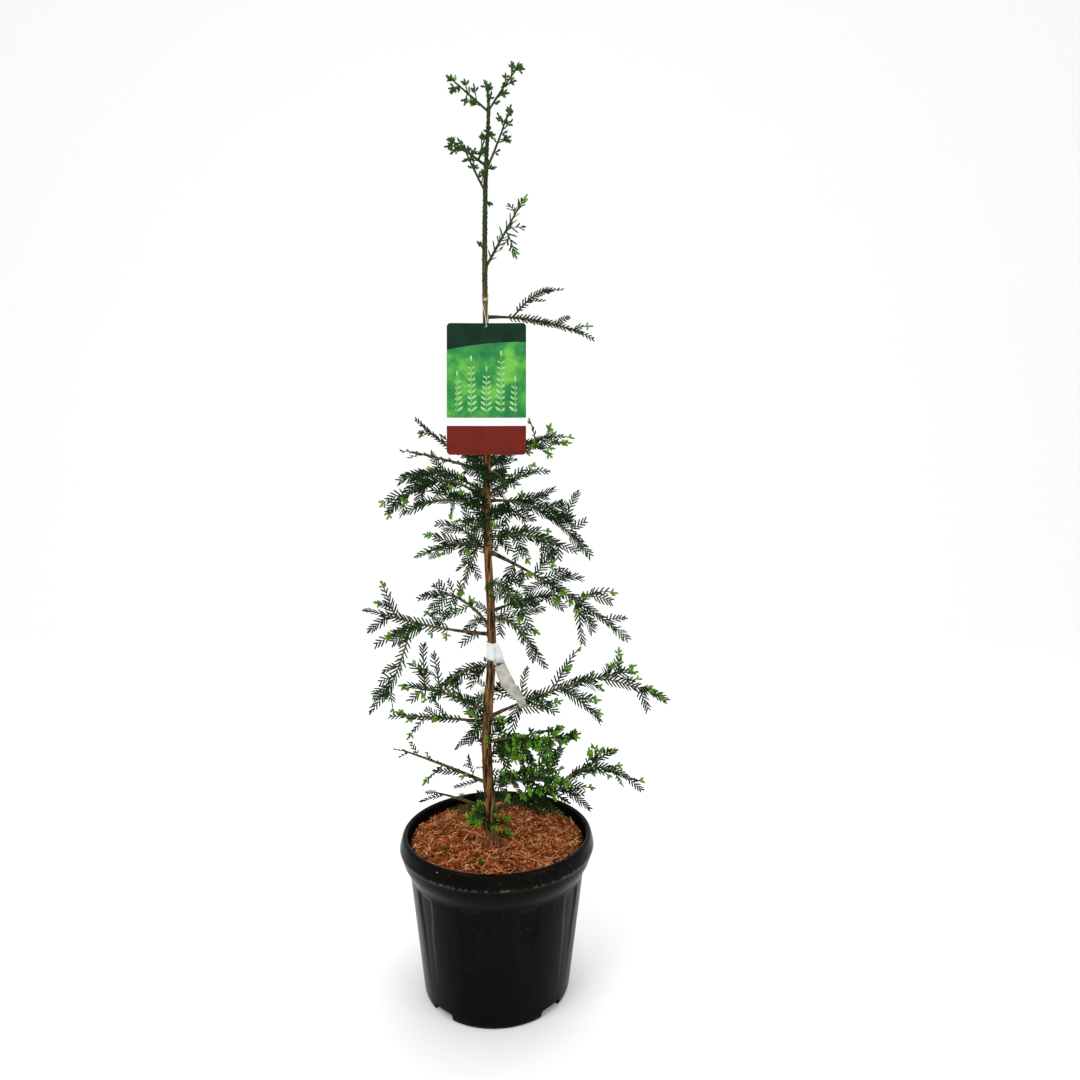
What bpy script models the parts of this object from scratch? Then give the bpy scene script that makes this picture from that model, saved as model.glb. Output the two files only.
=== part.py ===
"""Young coast redwood in a round nursery pot, as separate closed solids.

Metres, +Z up, +X to the right, +Y away from the front. The origin is the centre of the pot's flat
underside. The trunk is one solid, each longer branch starts as a bough, and each mass of needles is
a stem with toothed sprays fused to it.
"""

import math
import random

import bmesh
import bpy
from mathutils import Matrix, Vector
from mathutils.bvhtree import BVHTree

UP = Vector((0, 0, 1))
GAP = 0.0003                   # clearance that touching pieces keep
WELD = 0.00001                 # distance under which two corners are one

# Pot: radii and heights of the turned shell
POT_HEIGHT = 0.242
POT_FOOT_RADIUS = 0.114
POT_WALL_TOP_RADIUS = 0.137
POT_WALL_TOP = 0.180
POT_WALL = 0.003
RIM_RADIUS = 0.154
RIM_WIDEST = 0.223
RIM_CREST_RADIUS = 0.149
RIM_INNER_RADIUS = 0.1425
RIM_EDGE_DROP = 0.002          # inner edge of the rim below its top
RIM_CREST_DROP = 0.001
LIP_INSET = 0.003              # the rim's lower lip, in and down from its widest ring
LIP_DROP = 0.013
SHOULDER_INSET = 0.012         # where the rim tucks in towards the wall
SHOULDER_DROP = 0.028
FOOT_BEVEL = 0.003
FOOT_BEVEL_HEIGHT = 0.004
POT_STEPS = 36
FLUTE_COUNT = 10
FLUTE_START = -13.5            # heading of the first flute from the front, degrees
FLUTE_TOP = 0.183
FLUTE_LENGTH = 0.150
FLUTE_WIDTH = 0.032
FLUTE_DEPTH = 0.0018
FLUTE_FOOT_DEPTH = 0.0002
FLUTE_FOOT_SHARE = 0.55        # width at the foot, as a share of the width at the top
FLUTE_CUTTER_DEPTH = 0.010
NOTCH_COUNT = 4
NOTCH_START = 48.0             # heading of the first drain notch from the front, degrees
NOTCH_WIDTH = 0.040
NOTCH_HEIGHT = 0.011
NOTCH_CUTTER_DEPTH = 0.030
NOTCH_CUTTER_OUT = 0.004

# Bark mulch
SOIL_TOP = 0.232
SOIL_EDGE_DROP = 0.004
SOIL_FLAT_RADIUS = 0.060
SOIL_SHOULDER = 0.010          # width of the last, steeper ring by the wall

# Trunk: height, sideways and forward place of the axis, and radius
TRUNK_COURSE = [
    (0.2323, -0.0062, -0.0300, 0.0125),
    (0.2450, -0.0065, -0.0298, 0.0092),
    (0.2900, -0.0100, -0.0285, 0.0085),
    (0.3900, -0.0158, -0.0262, 0.0078),
    (0.5300, -0.0078, -0.0225, 0.0070),
    (0.7200, -0.0155, -0.0172, 0.0060),
    (0.9300, -0.0160, -0.0122, 0.0052),
    (1.1400, -0.0198, -0.0082, 0.0042),
    (1.2800, -0.0186, -0.0062, 0.0035),
    (1.3850, -0.0140, -0.0052, 0.0028),
    (1.4130, -0.0142, -0.0048, 0.0017),
]
TRUNK_STEPS = 26
FLARE_STEP = 0.005

# Hang label and its cord
LABEL_WIDTH = 0.124
LABEL_BOTTOM = 0.839
LABEL_TOP = 1.045
LABEL_CENTRE_X = -0.0155
LABEL_Y = -0.0300              # middle of the card's thickness
LABEL_THICKNESS = 0.0012
LABEL_CORNER = 0.006
LABEL_HOLE_RADIUS = 0.0028
LABEL_HOLE_DROP = 0.0070       # hole's centre below the top edge
CORD_RADIUS = 0.0006
CORD_HEIGHT = 1.095            # where the cord goes round the trunk
CORD_TURN_STEPS = 8
CORD_RING_EASE = 1.09          # slack of the ring round the trunk
CORD_RING_RISE = 0.002
CORD_SIDE = Vector((0, -0.006, -0.008))     # from the ring's ends down the trunk's sides
CORD_FACE_GAP = 0.0012         # between the cord and the card's faces
CORD_SEAT_LIFT = 0.0006
CORD_OVER_EDGE = 0.004         # how far above the card's edge the two strands draw together
CORD_NEAR = 0.6                # shares of that rise where each strand bends
CORD_FAR = 1.3
CORD_NEAR_OUT = 0.0006
CORD_FAR_OUT = 0.0016
CORD_FAR_BACK = 0.0014

# Paper band round the trunk, with a loose tail
BAND_BOTTOM = 0.517
BAND_TOP = 0.544
BAND_THICKNESS = 0.0012
TAIL_WIDTH = 0.016
TAIL_LEAN = 62.0               # how far the hanging tail's width turns from upright, degrees
TAIL_ROOT = 0.5                # where the tail leaves the band, as a share of the trunk's radius
TAIL_COURSE = [(0, 0, 0.002), (0.010, -0.001, -0.001), (0.024, -0.005, -0.032),
               (0.038, -0.009, -0.070), (0.047, -0.010, -0.094)]
TAIL_TWIST = 0.25              # how much more the tail faces the front at each corner
BAND_STEPS = 3

# Foliage
SPRAY_HALF_WIDTH = 0.0120
SPRAY_THICKNESS = 0.0011
SPRAY_ROOT_WIDTH = 0.0011
TOOTH_PITCH = 0.022
MOST_TEETH = 3
TOOTH_SWEEP = 1.35             # how far a tooth leans forward, in its own widths
TOOTH_FOOT = 0.2               # room left after the last tooth, in teeth
TOOTH_MIDDLE = 0.6             # where along a tooth its width is taken
TOOTH_LEAST = 0.62             # a tooth's width: least, swell in mid-spray, and fall to the tip
TOOTH_SWELL = 0.5
TOOTH_FALL = 0.35
TOOTH_END = 0.97               # no tooth reaches past this share of the spray
FIRST_TOOTH = 0.002
NARROW_SPRAY = 0.040           # sprays shorter than this are narrower too, down to a share
NARROW_LEAST = 0.55
STEM_TIP_RADIUS = 0.0011
TWIG_CLEARANCE = 0.0007        # room that a spray leaves to everything outside its own mass
SOIL_CLEARANCE = 0.004
BOUGH_TIP_RADIUS = 0.0018
ROOT_RADIUS = 0.0015           # a limb's radius at its root, and its growth with the limb's reach
ROOT_GROWTH = 0.008
ROOT_SHARE = 0.6               # never more than this share of the trunk's radius
LIMB_STEPS = 4
ARM_ROOT_SHARE = 0.92          # an arm's radius where it leaves, as a share of the stem's
ARM_SPRAY_SHARE = 0.85
ARM_BARE = 0.16                # share of an arm before its first spray
STEM_BARE = 0.06
SITE_MIDDLE = 0.45             # where in its stretch of stem a spray stands, and how far it strays
SITE_STRAY = 0.12
SPREAD = (44, 62)              # angle between a spray and its stem, degrees
DROOP_STRAY = 9
LENGTH_AT_ROOT = 1.12          # sprays grow shorter outwards
LENGTH_FALL = 0.45
LENGTH_STRAY = (0.85, 1.12)
TIP_SITE = 0.96                # the spray that carries on from a stem's tip
TIP_LENGTH = 0.62
ROLL_LEVEL = 50.0              # how far a spray on a level stem may roll, degrees


def branch(name, height, heading, rise, reach, lift, bare=0.0, sprays=4, spray=0.055, droop=8.0,
           arms=()):
    """One branch: where it leaves the trunk, its heading and rise in degrees, how far it reaches out
    and up, the share of it that is a bare bough, its sprays, and side arms (share along the stem,
    heading, rise, reach, lift, sprays)."""
    return {"name": name, "height": height, "heading": heading, "rise": rise, "reach": reach,
            "lift": lift, "bare": bare, "sprays": sprays, "spray": spray, "droop": droop,
            "arms": arms}


BRANCHES = [
    branch("leader", 1.408, 200, 80, 0.003, 0.015, sprays=2, spray=0.013, droop=-45),
    branch("top_right", 1.390, 12, 60, 0.044, 0.070, sprays=4, spray=0.019, droop=-10),
    branch("top_left", 1.388, 186, 40, 0.053, 0.044, sprays=4, spray=0.019, droop=-10),
    branch("crown_left", 1.301, 172, 40, 0.048, 0.037, sprays=3, spray=0.022, droop=-10,
           arms=((0.25, 50, 74, 0.018, 0.048, 2),)),
    branch("crown_right", 1.294, -14, 62, 0.036, 0.085, sprays=3, spray=0.020, droop=-20),
    branch("crown_front", 1.260, 205, 57, 0.033, 0.058, sprays=3, spray=0.020, droop=-20),
    branch("upper_right", 1.136, -8, 60, 0.057, 0.099, sprays=4, spray=0.028, droop=4,
           arms=((0.60, 10, -60, 0.010, -0.022, 1),)),
    branch("label_right", 1.059, 2, 3, 0.156, -0.0255, bare=0.18, sprays=4, spray=0.040, droop=-4,
           arms=((0.12, 6, 54, 0.062, 0.046, 2),)),
    branch("veiled_back", 1.000, 82, 34, 0.090, 0.050, sprays=3, spray=0.044),
    branch("veiled_left", 0.814, 186, 16, 0.118, 0.030, sprays=3, spray=0.038, droop=20),
    branch("brow_left", 0.828, 172, 10, 0.108, 0.062, sprays=3, spray=0.030, droop=-6),
    branch("brow_right", 0.816, 6, 43, 0.108, 0.054, sprays=4, spray=0.046, droop=-8),
    branch("brow_front", 0.806, 286, 14, 0.105, -0.006, sprays=3, spray=0.052),
    branch("brow_back", 0.828, 96, 28, 0.125, 0.040, sprays=3, spray=0.060),
    branch("ledge_left", 0.776, 162, 36, 0.124, 0.034, bare=0.20, sprays=4, spray=0.050),
    branch("shelf_left", 0.765, 187, 44, 0.138, 0.002, bare=0.22, sprays=4, spray=0.050),
    branch("ledge_right", 0.774, -30, 34, 0.090, 0.038, sprays=3, spray=0.036),
    branch("fan_right", 0.766, 8, 9, 0.150, -0.068, bare=0.16, sprays=4, spray=0.056, droop=10,
           arms=((0.05, 20, 6, 0.088, -0.020, 2), (0.75, -8, 58, 0.014, 0.026, 1))),
    branch("step_left", 0.752, 206, 28, 0.104, 0.010, sprays=3, spray=0.050),
    branch("heart_front", 0.736, 262, 8, 0.100, -0.022, sprays=3, spray=0.050),
    branch("heart_back", 0.742, 74, 16, 0.145, 0.004, sprays=3, spray=0.062),
    branch("plume_right", 0.708, -14, 14, 0.118, -0.008, sprays=4, spray=0.052),
    branch("plume_left", 0.692, 178, 16, 0.088, -0.002, sprays=3, spray=0.044,
           arms=((0.12, 168, 48, 0.055, 0.035, 1), (0.18, 208, -66, 0.020, -0.050, 1))),
    branch("long_right", 0.688, 3, -25, 0.206, -0.127, bare=0.30, sprays=4, spray=0.054, droop=2,
           arms=((0.55, -8, -72, 0.006, -0.040, 1), (0.60, 12, 52, 0.026, 0.018, 1))),
    branch("waist_back", 0.566, 152, 46, 0.098, 0.048, sprays=4, spray=0.058),
    branch("waist_front", 0.640, 304, 4, 0.100, -0.036, sprays=3, spray=0.050),
    branch("hook_right", 0.583, -26, 12, 0.082, -0.050, sprays=3, spray=0.044),
    branch("long_left", 0.557, 181, 4, 0.174, 0.033, bare=0.34, sprays=4, spray=0.050, droop=4,
           arms=((0.57, 188, -76, 0.046, -0.117, 2), (0.78, 174, 58, 0.014, 0.030, 1),
                 (0.50, 196, -26, 0.042, -0.019, 1))),
    branch("lap_back", 0.592, 56, 8, 0.165, 0.006, bare=0.22, sprays=4, spray=0.062),
    branch("lower_left", 0.436, 194, 31, 0.106, 0.046, sprays=4, spray=0.050,
           arms=((0.70, 178, 80, 0.006, 0.036, 1), (0.93, 172, 84, 0.002, 0.046, 1))),
    branch("lap_front", 0.506, 208, 14, 0.078, -0.018, sprays=3, spray=0.046),
    branch("sweep_right", 0.426, 2, 26, 0.206, 0.068, bare=0.20, sprays=4, spray=0.054,
           arms=((0.04, -6, 66, 0.008, 0.030, 1), (0.37, 12, 60, 0.026, 0.043, 1),
                 (0.45, -22, -20, 0.046, -0.028, 1), (0.80, -4, -8, 0.086, -0.022, 2))),
    branch("sweep_left", 0.420, 187, 8, 0.130, 0.014, bare=0.26, sprays=4, spray=0.044),
    branch("skirt_back", 0.402, 96, 10, 0.165, 0.016, sprays=3, spray=0.064),
    branch("bush_front", 0.386, -52, 28, 0.105, 0.036, sprays=4, spray=0.048, droop=-4),
    branch("bush_right", 0.368, 10, 18, 0.118, 0.022, sprays=4, spray=0.048, droop=-8),
    branch("bush_low", 0.326, -26, 16, 0.108, 0.022, sprays=4, spray=0.050, droop=-8),
    branch("reach_left", 0.324, 176, 22, 0.134, 0.048, sprays=3, spray=0.036),
    branch("reach_right", 0.298, 0, 2, 0.176, 0.068, bare=0.20, sprays=4, spray=0.052,
           arms=((0.57, -6, 40, 0.104, 0.006, 2),)),
    branch("low_back_right", 0.282, 38, 2, 0.155, -0.004, sprays=3, spray=0.052, droop=-4),
    branch("low_back_left", 0.282, 142, 4, 0.120, -0.002, sprays=3, spray=0.050, droop=-4),
    branch("foot_shoot", 0.266, 232, 30, 0.038, 0.020, sprays=2, spray=0.022, droop=-20),
]


# ---------------------------------------------------------------- helpers

def clear_scene():
    for item in list(bpy.data.objects):
        bpy.data.objects.remove(item, do_unlink=True)


def new_collection(name):
    group = bpy.data.collections.new(name)
    bpy.context.scene.collection.children.link(group)
    return group


def finish(name, colour, roughness, metallic=0.0):
    """A Principled BSDF material in one colour."""
    material = bpy.data.materials.new(name)
    material.use_nodes = True
    shader = material.node_tree.nodes["Principled BSDF"]
    shader.inputs["Base Color"].default_value = (*colour, 1.0)
    shader.inputs["Roughness"].default_value = roughness
    shader.inputs["Metallic"].default_value = metallic
    return material


def add_object(name, data, group, material=None):
    item = bpy.data.objects.new(name, data)
    group.objects.link(item)
    if material and not data.materials:
        data.materials.append(material)
    return item


def hide_as_cutter(item):
    item.hide_render = True
    item.display_type = "WIRE"


def evaluated_mesh(item):
    """The object's mesh with its modifiers or bevel applied."""
    graph = bpy.context.evaluated_depsgraph_get()
    graph.update()
    return bpy.data.meshes.new_from_object(item.evaluated_get(graph))


def curve_to_mesh(item, group, material):
    """Replace a curve object by a mesh object of the same name and place, with its caps welded."""
    mesh = evaluated_mesh(item)
    form = bmesh.new()
    form.from_mesh(mesh)
    bmesh.ops.remove_doubles(form, verts=form.verts, dist=WELD)
    bmesh.ops.recalc_face_normals(form, faces=form.faces)
    form.to_mesh(mesh)
    form.free()
    name = item.name
    place = item.matrix_world.copy()
    bpy.data.objects.remove(item, do_unlink=True)
    solid = add_object(name, mesh, group)
    mesh.materials.clear()
    mesh.materials.append(material)
    solid.matrix_world = place
    return solid


def tube(name, points, radii, group, material, detail=1, cyclic=False):
    """A round tapering tube through the points; detail 0 gives 4 sides, and each step 2 more."""
    curve = bpy.data.curves.new(name, "CURVE")
    curve.dimensions = "3D"
    curve.bevel_depth = 1.0
    curve.bevel_resolution = detail
    curve.use_fill_caps = not cyclic
    spline = curve.splines.new("POLY")
    spline.points.add(len(points) - 1)
    spline.use_cyclic_u = cyclic
    for knot, point, radius in zip(spline.points, points, radii):
        knot.co = (*point, 1.0)
        knot.radius = radius
    return curve_to_mesh(add_object(name, curve, group), group, material)


def flat_plate(name, outlines, thickness, group, material):
    """A plate in its own XY plane from closed outlines; the later outlines are holes."""
    curve = bpy.data.curves.new(name, "CURVE")
    curve.dimensions = "2D"
    curve.fill_mode = "BOTH"
    curve.extrude = thickness / 2
    for outline in outlines:
        spline = curve.splines.new("POLY")
        spline.points.add(len(outline) - 1)
        spline.use_cyclic_u = True
        for knot, (x, y) in zip(spline.points, outline):
            knot.co = (x, y, 0, 1)
    return curve_to_mesh(add_object(name, curve, group), group, material)


def arc(centre_x, centre_y, radius, start, end, steps):
    angles = [math.radians(start + (end - start) * i / steps) for i in range(steps + 1)]
    return [(centre_x + radius * math.cos(a), centre_y + radius * math.sin(a)) for a in angles]


def turned(name, profile, group, material):
    """A profile of radius and height, turned about Z; its outer side runs from top to bottom."""
    mesh = bpy.data.meshes.new(name)
    form = bmesh.new()
    knots = [form.verts.new((radius, 0, height)) for radius, height in profile]
    for first, second in zip(knots, knots[1:]):
        form.edges.new((first, second))
    form.to_mesh(mesh)
    form.free()
    solid = add_object(name, mesh, group, material)
    screw = solid.modifiers.new("turn", "SCREW")
    screw.steps = POT_STEPS
    screw.render_steps = POT_STEPS
    screw.use_merge_vertices = True
    screw.merge_threshold = WELD
    return solid


def boolean(item, operation, other):
    """Cut or join an object by another object or by a whole collection."""
    change = item.modifiers.new(operation.lower(), "BOOLEAN")
    change.operation = operation
    change.solver = "EXACT"
    if isinstance(other, bpy.types.Collection):
        change.operand_type = "COLLECTION"
        change.collection = other
    else:
        change.object = other


def apply_modifiers(item):
    mesh = evaluated_mesh(item)
    item.modifiers.clear()
    item.data = mesh


def is_closed(mesh):
    form = bmesh.new()
    form.from_mesh(mesh)
    closed = all(len(edge.link_faces) == 2 for edge in form.edges)
    form.free()
    return closed


def apply_boolean(item, operation, other):
    """Cut or join for good; MANIFOLD takes over where EXACT leaves the mesh open."""
    boolean(item, operation, other)
    if not is_closed(evaluated_mesh(item)):
        item.modifiers[-1].solver = "MANIFOLD"
    apply_modifiers(item)
    keep_outer_body(item.data)


def keep_outer_body(mesh):
    """Drop loose scraps and fill sealed hollows: only the largest shell stays."""
    form = bmesh.new()
    form.from_mesh(mesh)
    left = set(form.faces)
    shells = []
    while left:
        shell = {left.pop()}
        edge_of = list(shell)
        while edge_of:
            for edge in edge_of.pop().edges:
                for face in edge.link_faces:
                    if face in left:
                        left.discard(face)
                        shell.add(face)
                        edge_of.append(face)
        shells.append(shell)
    largest = max(shells, key=len)
    scraps = [face for shell in shells if shell is not largest for face in shell]
    bmesh.ops.delete(form, geom=scraps, context="FACES")
    form.to_mesh(mesh)
    form.free()


# ---------------------------------------------------------------- pot and mulch

def from_front(degrees):
    """Unit direction for a heading counted from the front, positive to the right."""
    angle = math.radians(degrees)
    return Vector((math.sin(angle), -math.cos(angle), 0))


def inner_radius(height):
    """Inside of the pot's wall at a height."""
    if height < POT_WALL_TOP:
        share = height / POT_WALL_TOP
        return POT_FOOT_RADIUS + (POT_WALL_TOP_RADIUS - POT_FOOT_RADIUS) * share - POT_WALL
    share = (height - POT_WALL_TOP) / (POT_HEIGHT - POT_WALL_TOP)
    below = POT_WALL_TOP_RADIUS - POT_WALL
    return below + (RIM_INNER_RADIUS - below) * share


def make_pot(group, cutters, material):
    floor = POT_WALL + NOTCH_HEIGHT
    profile = [
        (0, floor),
        (inner_radius(floor), floor),
        (inner_radius(POT_WALL_TOP), POT_WALL_TOP),
        (RIM_INNER_RADIUS, POT_HEIGHT - RIM_EDGE_DROP),
        ((RIM_INNER_RADIUS + RIM_CREST_RADIUS) / 2, POT_HEIGHT),
        (RIM_CREST_RADIUS, POT_HEIGHT - RIM_CREST_DROP),
        (RIM_RADIUS, RIM_WIDEST),
        (RIM_RADIUS - LIP_INSET, RIM_WIDEST - LIP_DROP),
        (RIM_RADIUS - SHOULDER_INSET, RIM_WIDEST - SHOULDER_DROP),
        (POT_WALL_TOP_RADIUS, POT_WALL_TOP),
        (POT_FOOT_RADIUS, FOOT_BEVEL_HEIGHT),
        (POT_FOOT_RADIUS - FOOT_BEVEL, 0),
        (0, 0),
    ]
    pot = turned("pot", profile, group, material)
    wall_slope = (POT_WALL_TOP_RADIUS - POT_FOOT_RADIUS) / POT_WALL_TOP
    cut = bpy.data.collections.new("pot_cutters")
    cutters.children.link(cut)
    for index in range(FLUTE_COUNT):
        out = from_front(FLUTE_START + index * 360 / FLUTE_COUNT)
        add_flute(cut, index, out, wall_slope)
    for index in range(NOTCH_COUNT):
        out = from_front(NOTCH_START + index * 360 / NOTCH_COUNT)
        add_notch(cut, index, out)
    boolean(pot, "DIFFERENCE", cut)
    return pot


def add_flute(group, index, out, wall_slope):
    """A long wedge that presses a shallow recess into the wall and fades out towards the foot."""
    mesh = bpy.data.meshes.new(f"flute_{index}")
    form = bmesh.new()
    bmesh.ops.create_cube(form, size=1.0)
    for vert in form.verts:
        top = vert.co.z > 0
        height = FLUTE_TOP if top else FLUTE_TOP - FLUTE_LENGTH
        wall = POT_FOOT_RADIUS + wall_slope * height
        inside = wall - (FLUTE_DEPTH if top else FLUTE_FOOT_DEPTH)
        width = FLUTE_WIDTH if top else FLUTE_WIDTH * FLUTE_FOOT_SHARE
        side = Vector((-out.y, out.x, 0)) * width * vert.co.y
        outside = inside + (FLUTE_CUTTER_DEPTH if vert.co.x > 0 else 0)
        vert.co = out * outside + side + UP * height
    bmesh.ops.recalc_face_normals(form, faces=form.faces)
    form.to_mesh(mesh)
    form.free()
    hide_as_cutter(add_object(mesh.name, mesh, group))


def add_notch(group, index, out):
    """A block that opens a drain notch in the foot."""
    mesh = bpy.data.meshes.new(f"notch_{index}")
    form = bmesh.new()
    bmesh.ops.create_cube(form, size=1.0)
    form.to_mesh(mesh)
    form.free()
    block = add_object(mesh.name, mesh, group)
    side = Vector((-out.y, out.x, 0))
    turn = Matrix((out, side, UP)).transposed().to_4x4()
    middle = out * (POT_FOOT_RADIUS + NOTCH_CUTTER_OUT)
    size = Matrix.Diagonal((NOTCH_CUTTER_DEPTH, NOTCH_WIDTH, 2 * NOTCH_HEIGHT, 1))
    block.data.transform(Matrix.Translation(middle) @ turn @ size)
    hide_as_cutter(block)


def make_soil(group, material):
    floor = POT_WALL + NOTCH_HEIGHT + GAP
    edge = SOIL_TOP - SOIL_EDGE_DROP
    profile = [
        (0, SOIL_TOP),
        (SOIL_FLAT_RADIUS, SOIL_TOP),
        (inner_radius(edge) - SOIL_SHOULDER, SOIL_TOP - SOIL_EDGE_DROP / 3),
        (inner_radius(edge) - 2 * GAP, edge),
        (inner_radius(POT_WALL_TOP) - 2 * GAP, POT_WALL_TOP),
        (inner_radius(floor) - 2 * GAP, floor),
        (0, floor),
    ]
    return turned("bark_mulch", profile, group, material)


# ---------------------------------------------------------------- trunk

def trunk_values(height):
    """Axis place and radius at a height, on a smooth course through TRUNK_COURSE."""
    rows = TRUNK_COURSE
    height = min(max(height, rows[0][0]), rows[-1][0])
    index = max(i for i in range(len(rows) - 1) if rows[i][0] <= height)
    low, high = rows[index], rows[index + 1]
    span = high[0] - low[0]
    share = (height - low[0]) / span
    values = []
    for column in (1, 2, 3):
        before = rows[max(index - 1, 0)]
        after = rows[min(index + 2, len(rows) - 1)]
        slope_low = (high[column] - before[column]) / (high[0] - before[0]) * span
        slope_high = (after[column] - low[column]) / (after[0] - low[0]) * span
        if column == 3:
            slope_low = slope_high = high[column] - low[column]
        s2, s3 = share * share, share ** 3
        values.append((2 * s3 - 3 * s2 + 1) * low[column] + (s3 - 2 * s2 + share) * slope_low
                      + (3 * s2 - 2 * s3) * high[column] + (s3 - s2) * slope_high)
    return Vector((values[0], values[1], height)), values[2]


def course_tube(name, heights, grow, group, material):
    """A tube along the trunk's own course, with its radius grown by a clearance."""
    places = [trunk_values(height) for height in heights]
    points = [place for place, _ in places]
    points[0] = Vector((points[1].x, points[1].y, points[0].z))
    radii = [radius + grow for _, radius in places]
    return tube(name, points, radii, group, material, detail=2)


def trunk_heights():
    """Close steps over the root flare, then even steps to the tip."""
    foot, top = TRUNK_COURSE[0][0], TRUNK_COURSE[-1][0]
    flare = [foot, foot + FLARE_STEP, TRUNK_COURSE[1][0]]
    return flare + [flare[-1] + (top - flare[-1]) * (i + 1) / TRUNK_STEPS
                    for i in range(TRUNK_STEPS)]


# ---------------------------------------------------------------- label, cord and band

def make_label(group, material):
    half = LABEL_WIDTH / 2
    height = LABEL_TOP - LABEL_BOTTOM
    inset = LABEL_CORNER
    corners = ((half - inset, height - inset, 0), (inset - half, height - inset, 90),
               (inset - half, inset, 180), (half - inset, inset, 270))
    outline = []
    for x, y, start in corners:
        outline += arc(x, y, LABEL_CORNER, start, start + 90, 4)
    hole = arc(0, height - LABEL_HOLE_DROP, LABEL_HOLE_RADIUS, 0, 330, 11)
    card = flat_plate("label", [outline, hole], LABEL_THICKNESS, group, material)
    card.rotation_euler = (math.pi / 2, 0, 0)
    card.location = (LABEL_CENTRE_X, LABEL_Y, LABEL_BOTTOM)
    return card


def make_cord(group, material):
    """A closed loop: round the back of the trunk, down both sides and through the label's hole."""
    centre, radius = trunk_values(CORD_HEIGHT)
    ring = radius + CORD_RADIUS + GAP
    hole = Vector((LABEL_CENTRE_X, LABEL_Y, LABEL_TOP - LABEL_HOLE_DROP))
    seat = hole + UP * (LABEL_HOLE_RADIUS - CORD_RADIUS - 2 * GAP)
    face = LABEL_THICKNESS / 2 + CORD_RADIUS + CORD_FACE_GAP
    over_edge = UP * (LABEL_HOLE_DROP + CORD_OVER_EDGE)
    right = Vector((1, 0, 0))
    front = seat + Vector((0, -face, CORD_SEAT_LIFT))
    behind = seat + Vector((0, face, CORD_SEAT_LIFT))
    points = [front, front + over_edge * CORD_NEAR - right * CORD_NEAR_OUT,
              front + over_edge * CORD_FAR + Vector((-CORD_FAR_OUT, CORD_FAR_BACK, 0))]
    points.append(centre - right * ring + CORD_SIDE)
    for step in range(CORD_TURN_STEPS + 1):
        angle = math.pi * (1 - step / CORD_TURN_STEPS)
        out = Vector((math.cos(angle), math.sin(angle), 0))
        points.append(centre + out * ring * CORD_RING_EASE + UP * CORD_RING_RISE * math.sin(angle))
    points += [centre + right * ring + CORD_SIDE,
               behind + over_edge * CORD_FAR + right * CORD_FAR_OUT,
               behind + over_edge * CORD_NEAR + right * CORD_NEAR_OUT, behind, seat]
    return tube("label_cord", points, [CORD_RADIUS] * len(points), group, material, 1, True)


def make_band(group, cutters, trunk_cutter, material):
    """A band that follows the trunk, with a loose tail that hangs to the right."""
    heights = [BAND_BOTTOM + (BAND_TOP - BAND_BOTTOM) * i / BAND_STEPS
               for i in range(BAND_STEPS + 1)]
    band = course_tube("stem_band", heights, GAP + BAND_THICKNESS, group, material)
    centre, radius = trunk_values((BAND_BOTTOM + BAND_TOP) / 2)
    start = centre + Vector((radius * TAIL_ROOT, 0, 0))
    corners = [start + Vector(step) for step in TAIL_COURSE]
    mesh = bpy.data.meshes.new("band_tail")
    form = bmesh.new()
    rows = []
    for index, point in enumerate(corners):
        lean = math.radians(TAIL_LEAN * min(index, 1))
        side = Vector((math.sin(lean), -TAIL_TWIST * index, math.cos(lean))).normalized()
        half = TAIL_WIDTH / 2
        rows.append([form.verts.new(point - side * half), form.verts.new(point + side * half)])
    for first, second in zip(rows, rows[1:]):
        form.faces.new((first[0], first[1], second[1], second[0]))
    form.to_mesh(mesh)
    form.free()
    tail_group = bpy.data.collections.new("tail")
    cutters.children.link(tail_group)
    tail = add_object("band_tail", mesh, tail_group)
    film = tail.modifiers.new("thickness", "SOLIDIFY")
    film.thickness = BAND_THICKNESS
    film.offset = 0
    apply_boolean(band, "UNION", tail_group)
    apply_boolean(band, "DIFFERENCE", trunk_cutter)
    bpy.data.objects.remove(tail, do_unlink=True)
    return band


# ---------------------------------------------------------------- limbs

class Limb:
    """A curved stem: a quadratic arc from its root, set by heading, rise, reach and lift."""

    def __init__(self, root, heading, rise, reach, lift):
        out = Vector((math.cos(math.radians(heading)), math.sin(math.radians(heading)), 0))
        self.out = out
        self.root = root
        self.middle = root + (out + UP * math.tan(math.radians(rise))) * reach / 2
        self.tip = root + out * reach + UP * lift
        self.length = (self.middle - root).length + (self.tip - self.middle).length

    def at(self, share):
        rest = 1 - share
        return self.root * rest ** 2 + self.middle * 2 * rest * share + self.tip * share ** 2

    def direction(self, share):
        rest = 1 - share
        return ((self.middle - self.root) * rest + (self.tip - self.middle) * share).normalized()

    def points(self, first, last, steps):
        return [self.at(first + (last - first) * i / steps) for i in range(steps + 1)]


def root_radius(row):
    """A longer branch is thicker at its root."""
    grown = ROOT_RADIUS + ROOT_GROWTH * row["reach"]
    return min(grown, trunk_values(row["height"])[1] * ROOT_SHARE)


def limb_radius(row, share):
    root, bare = root_radius(row), row["bare"]
    if bare and share <= bare:
        return root + (BOUGH_TIP_RADIUS - root) * share / bare
    start = BOUGH_TIP_RADIUS if bare else root
    return start + (STEM_TIP_RADIUS - start) * (share - bare) / (1 - bare)


def make_bough(row, limb, group, trunk_cutter, material):
    points = limb.points(0, row["bare"], LIMB_STEPS)
    radii = [limb_radius(row, row["bare"] * i / LIMB_STEPS) for i in range(LIMB_STEPS + 1)]
    bough = tube(f"bough_{row['name']}", points, radii, group, material, detail=1)
    apply_boolean(bough, "DIFFERENCE", trunk_cutter)
    return bough


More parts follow.
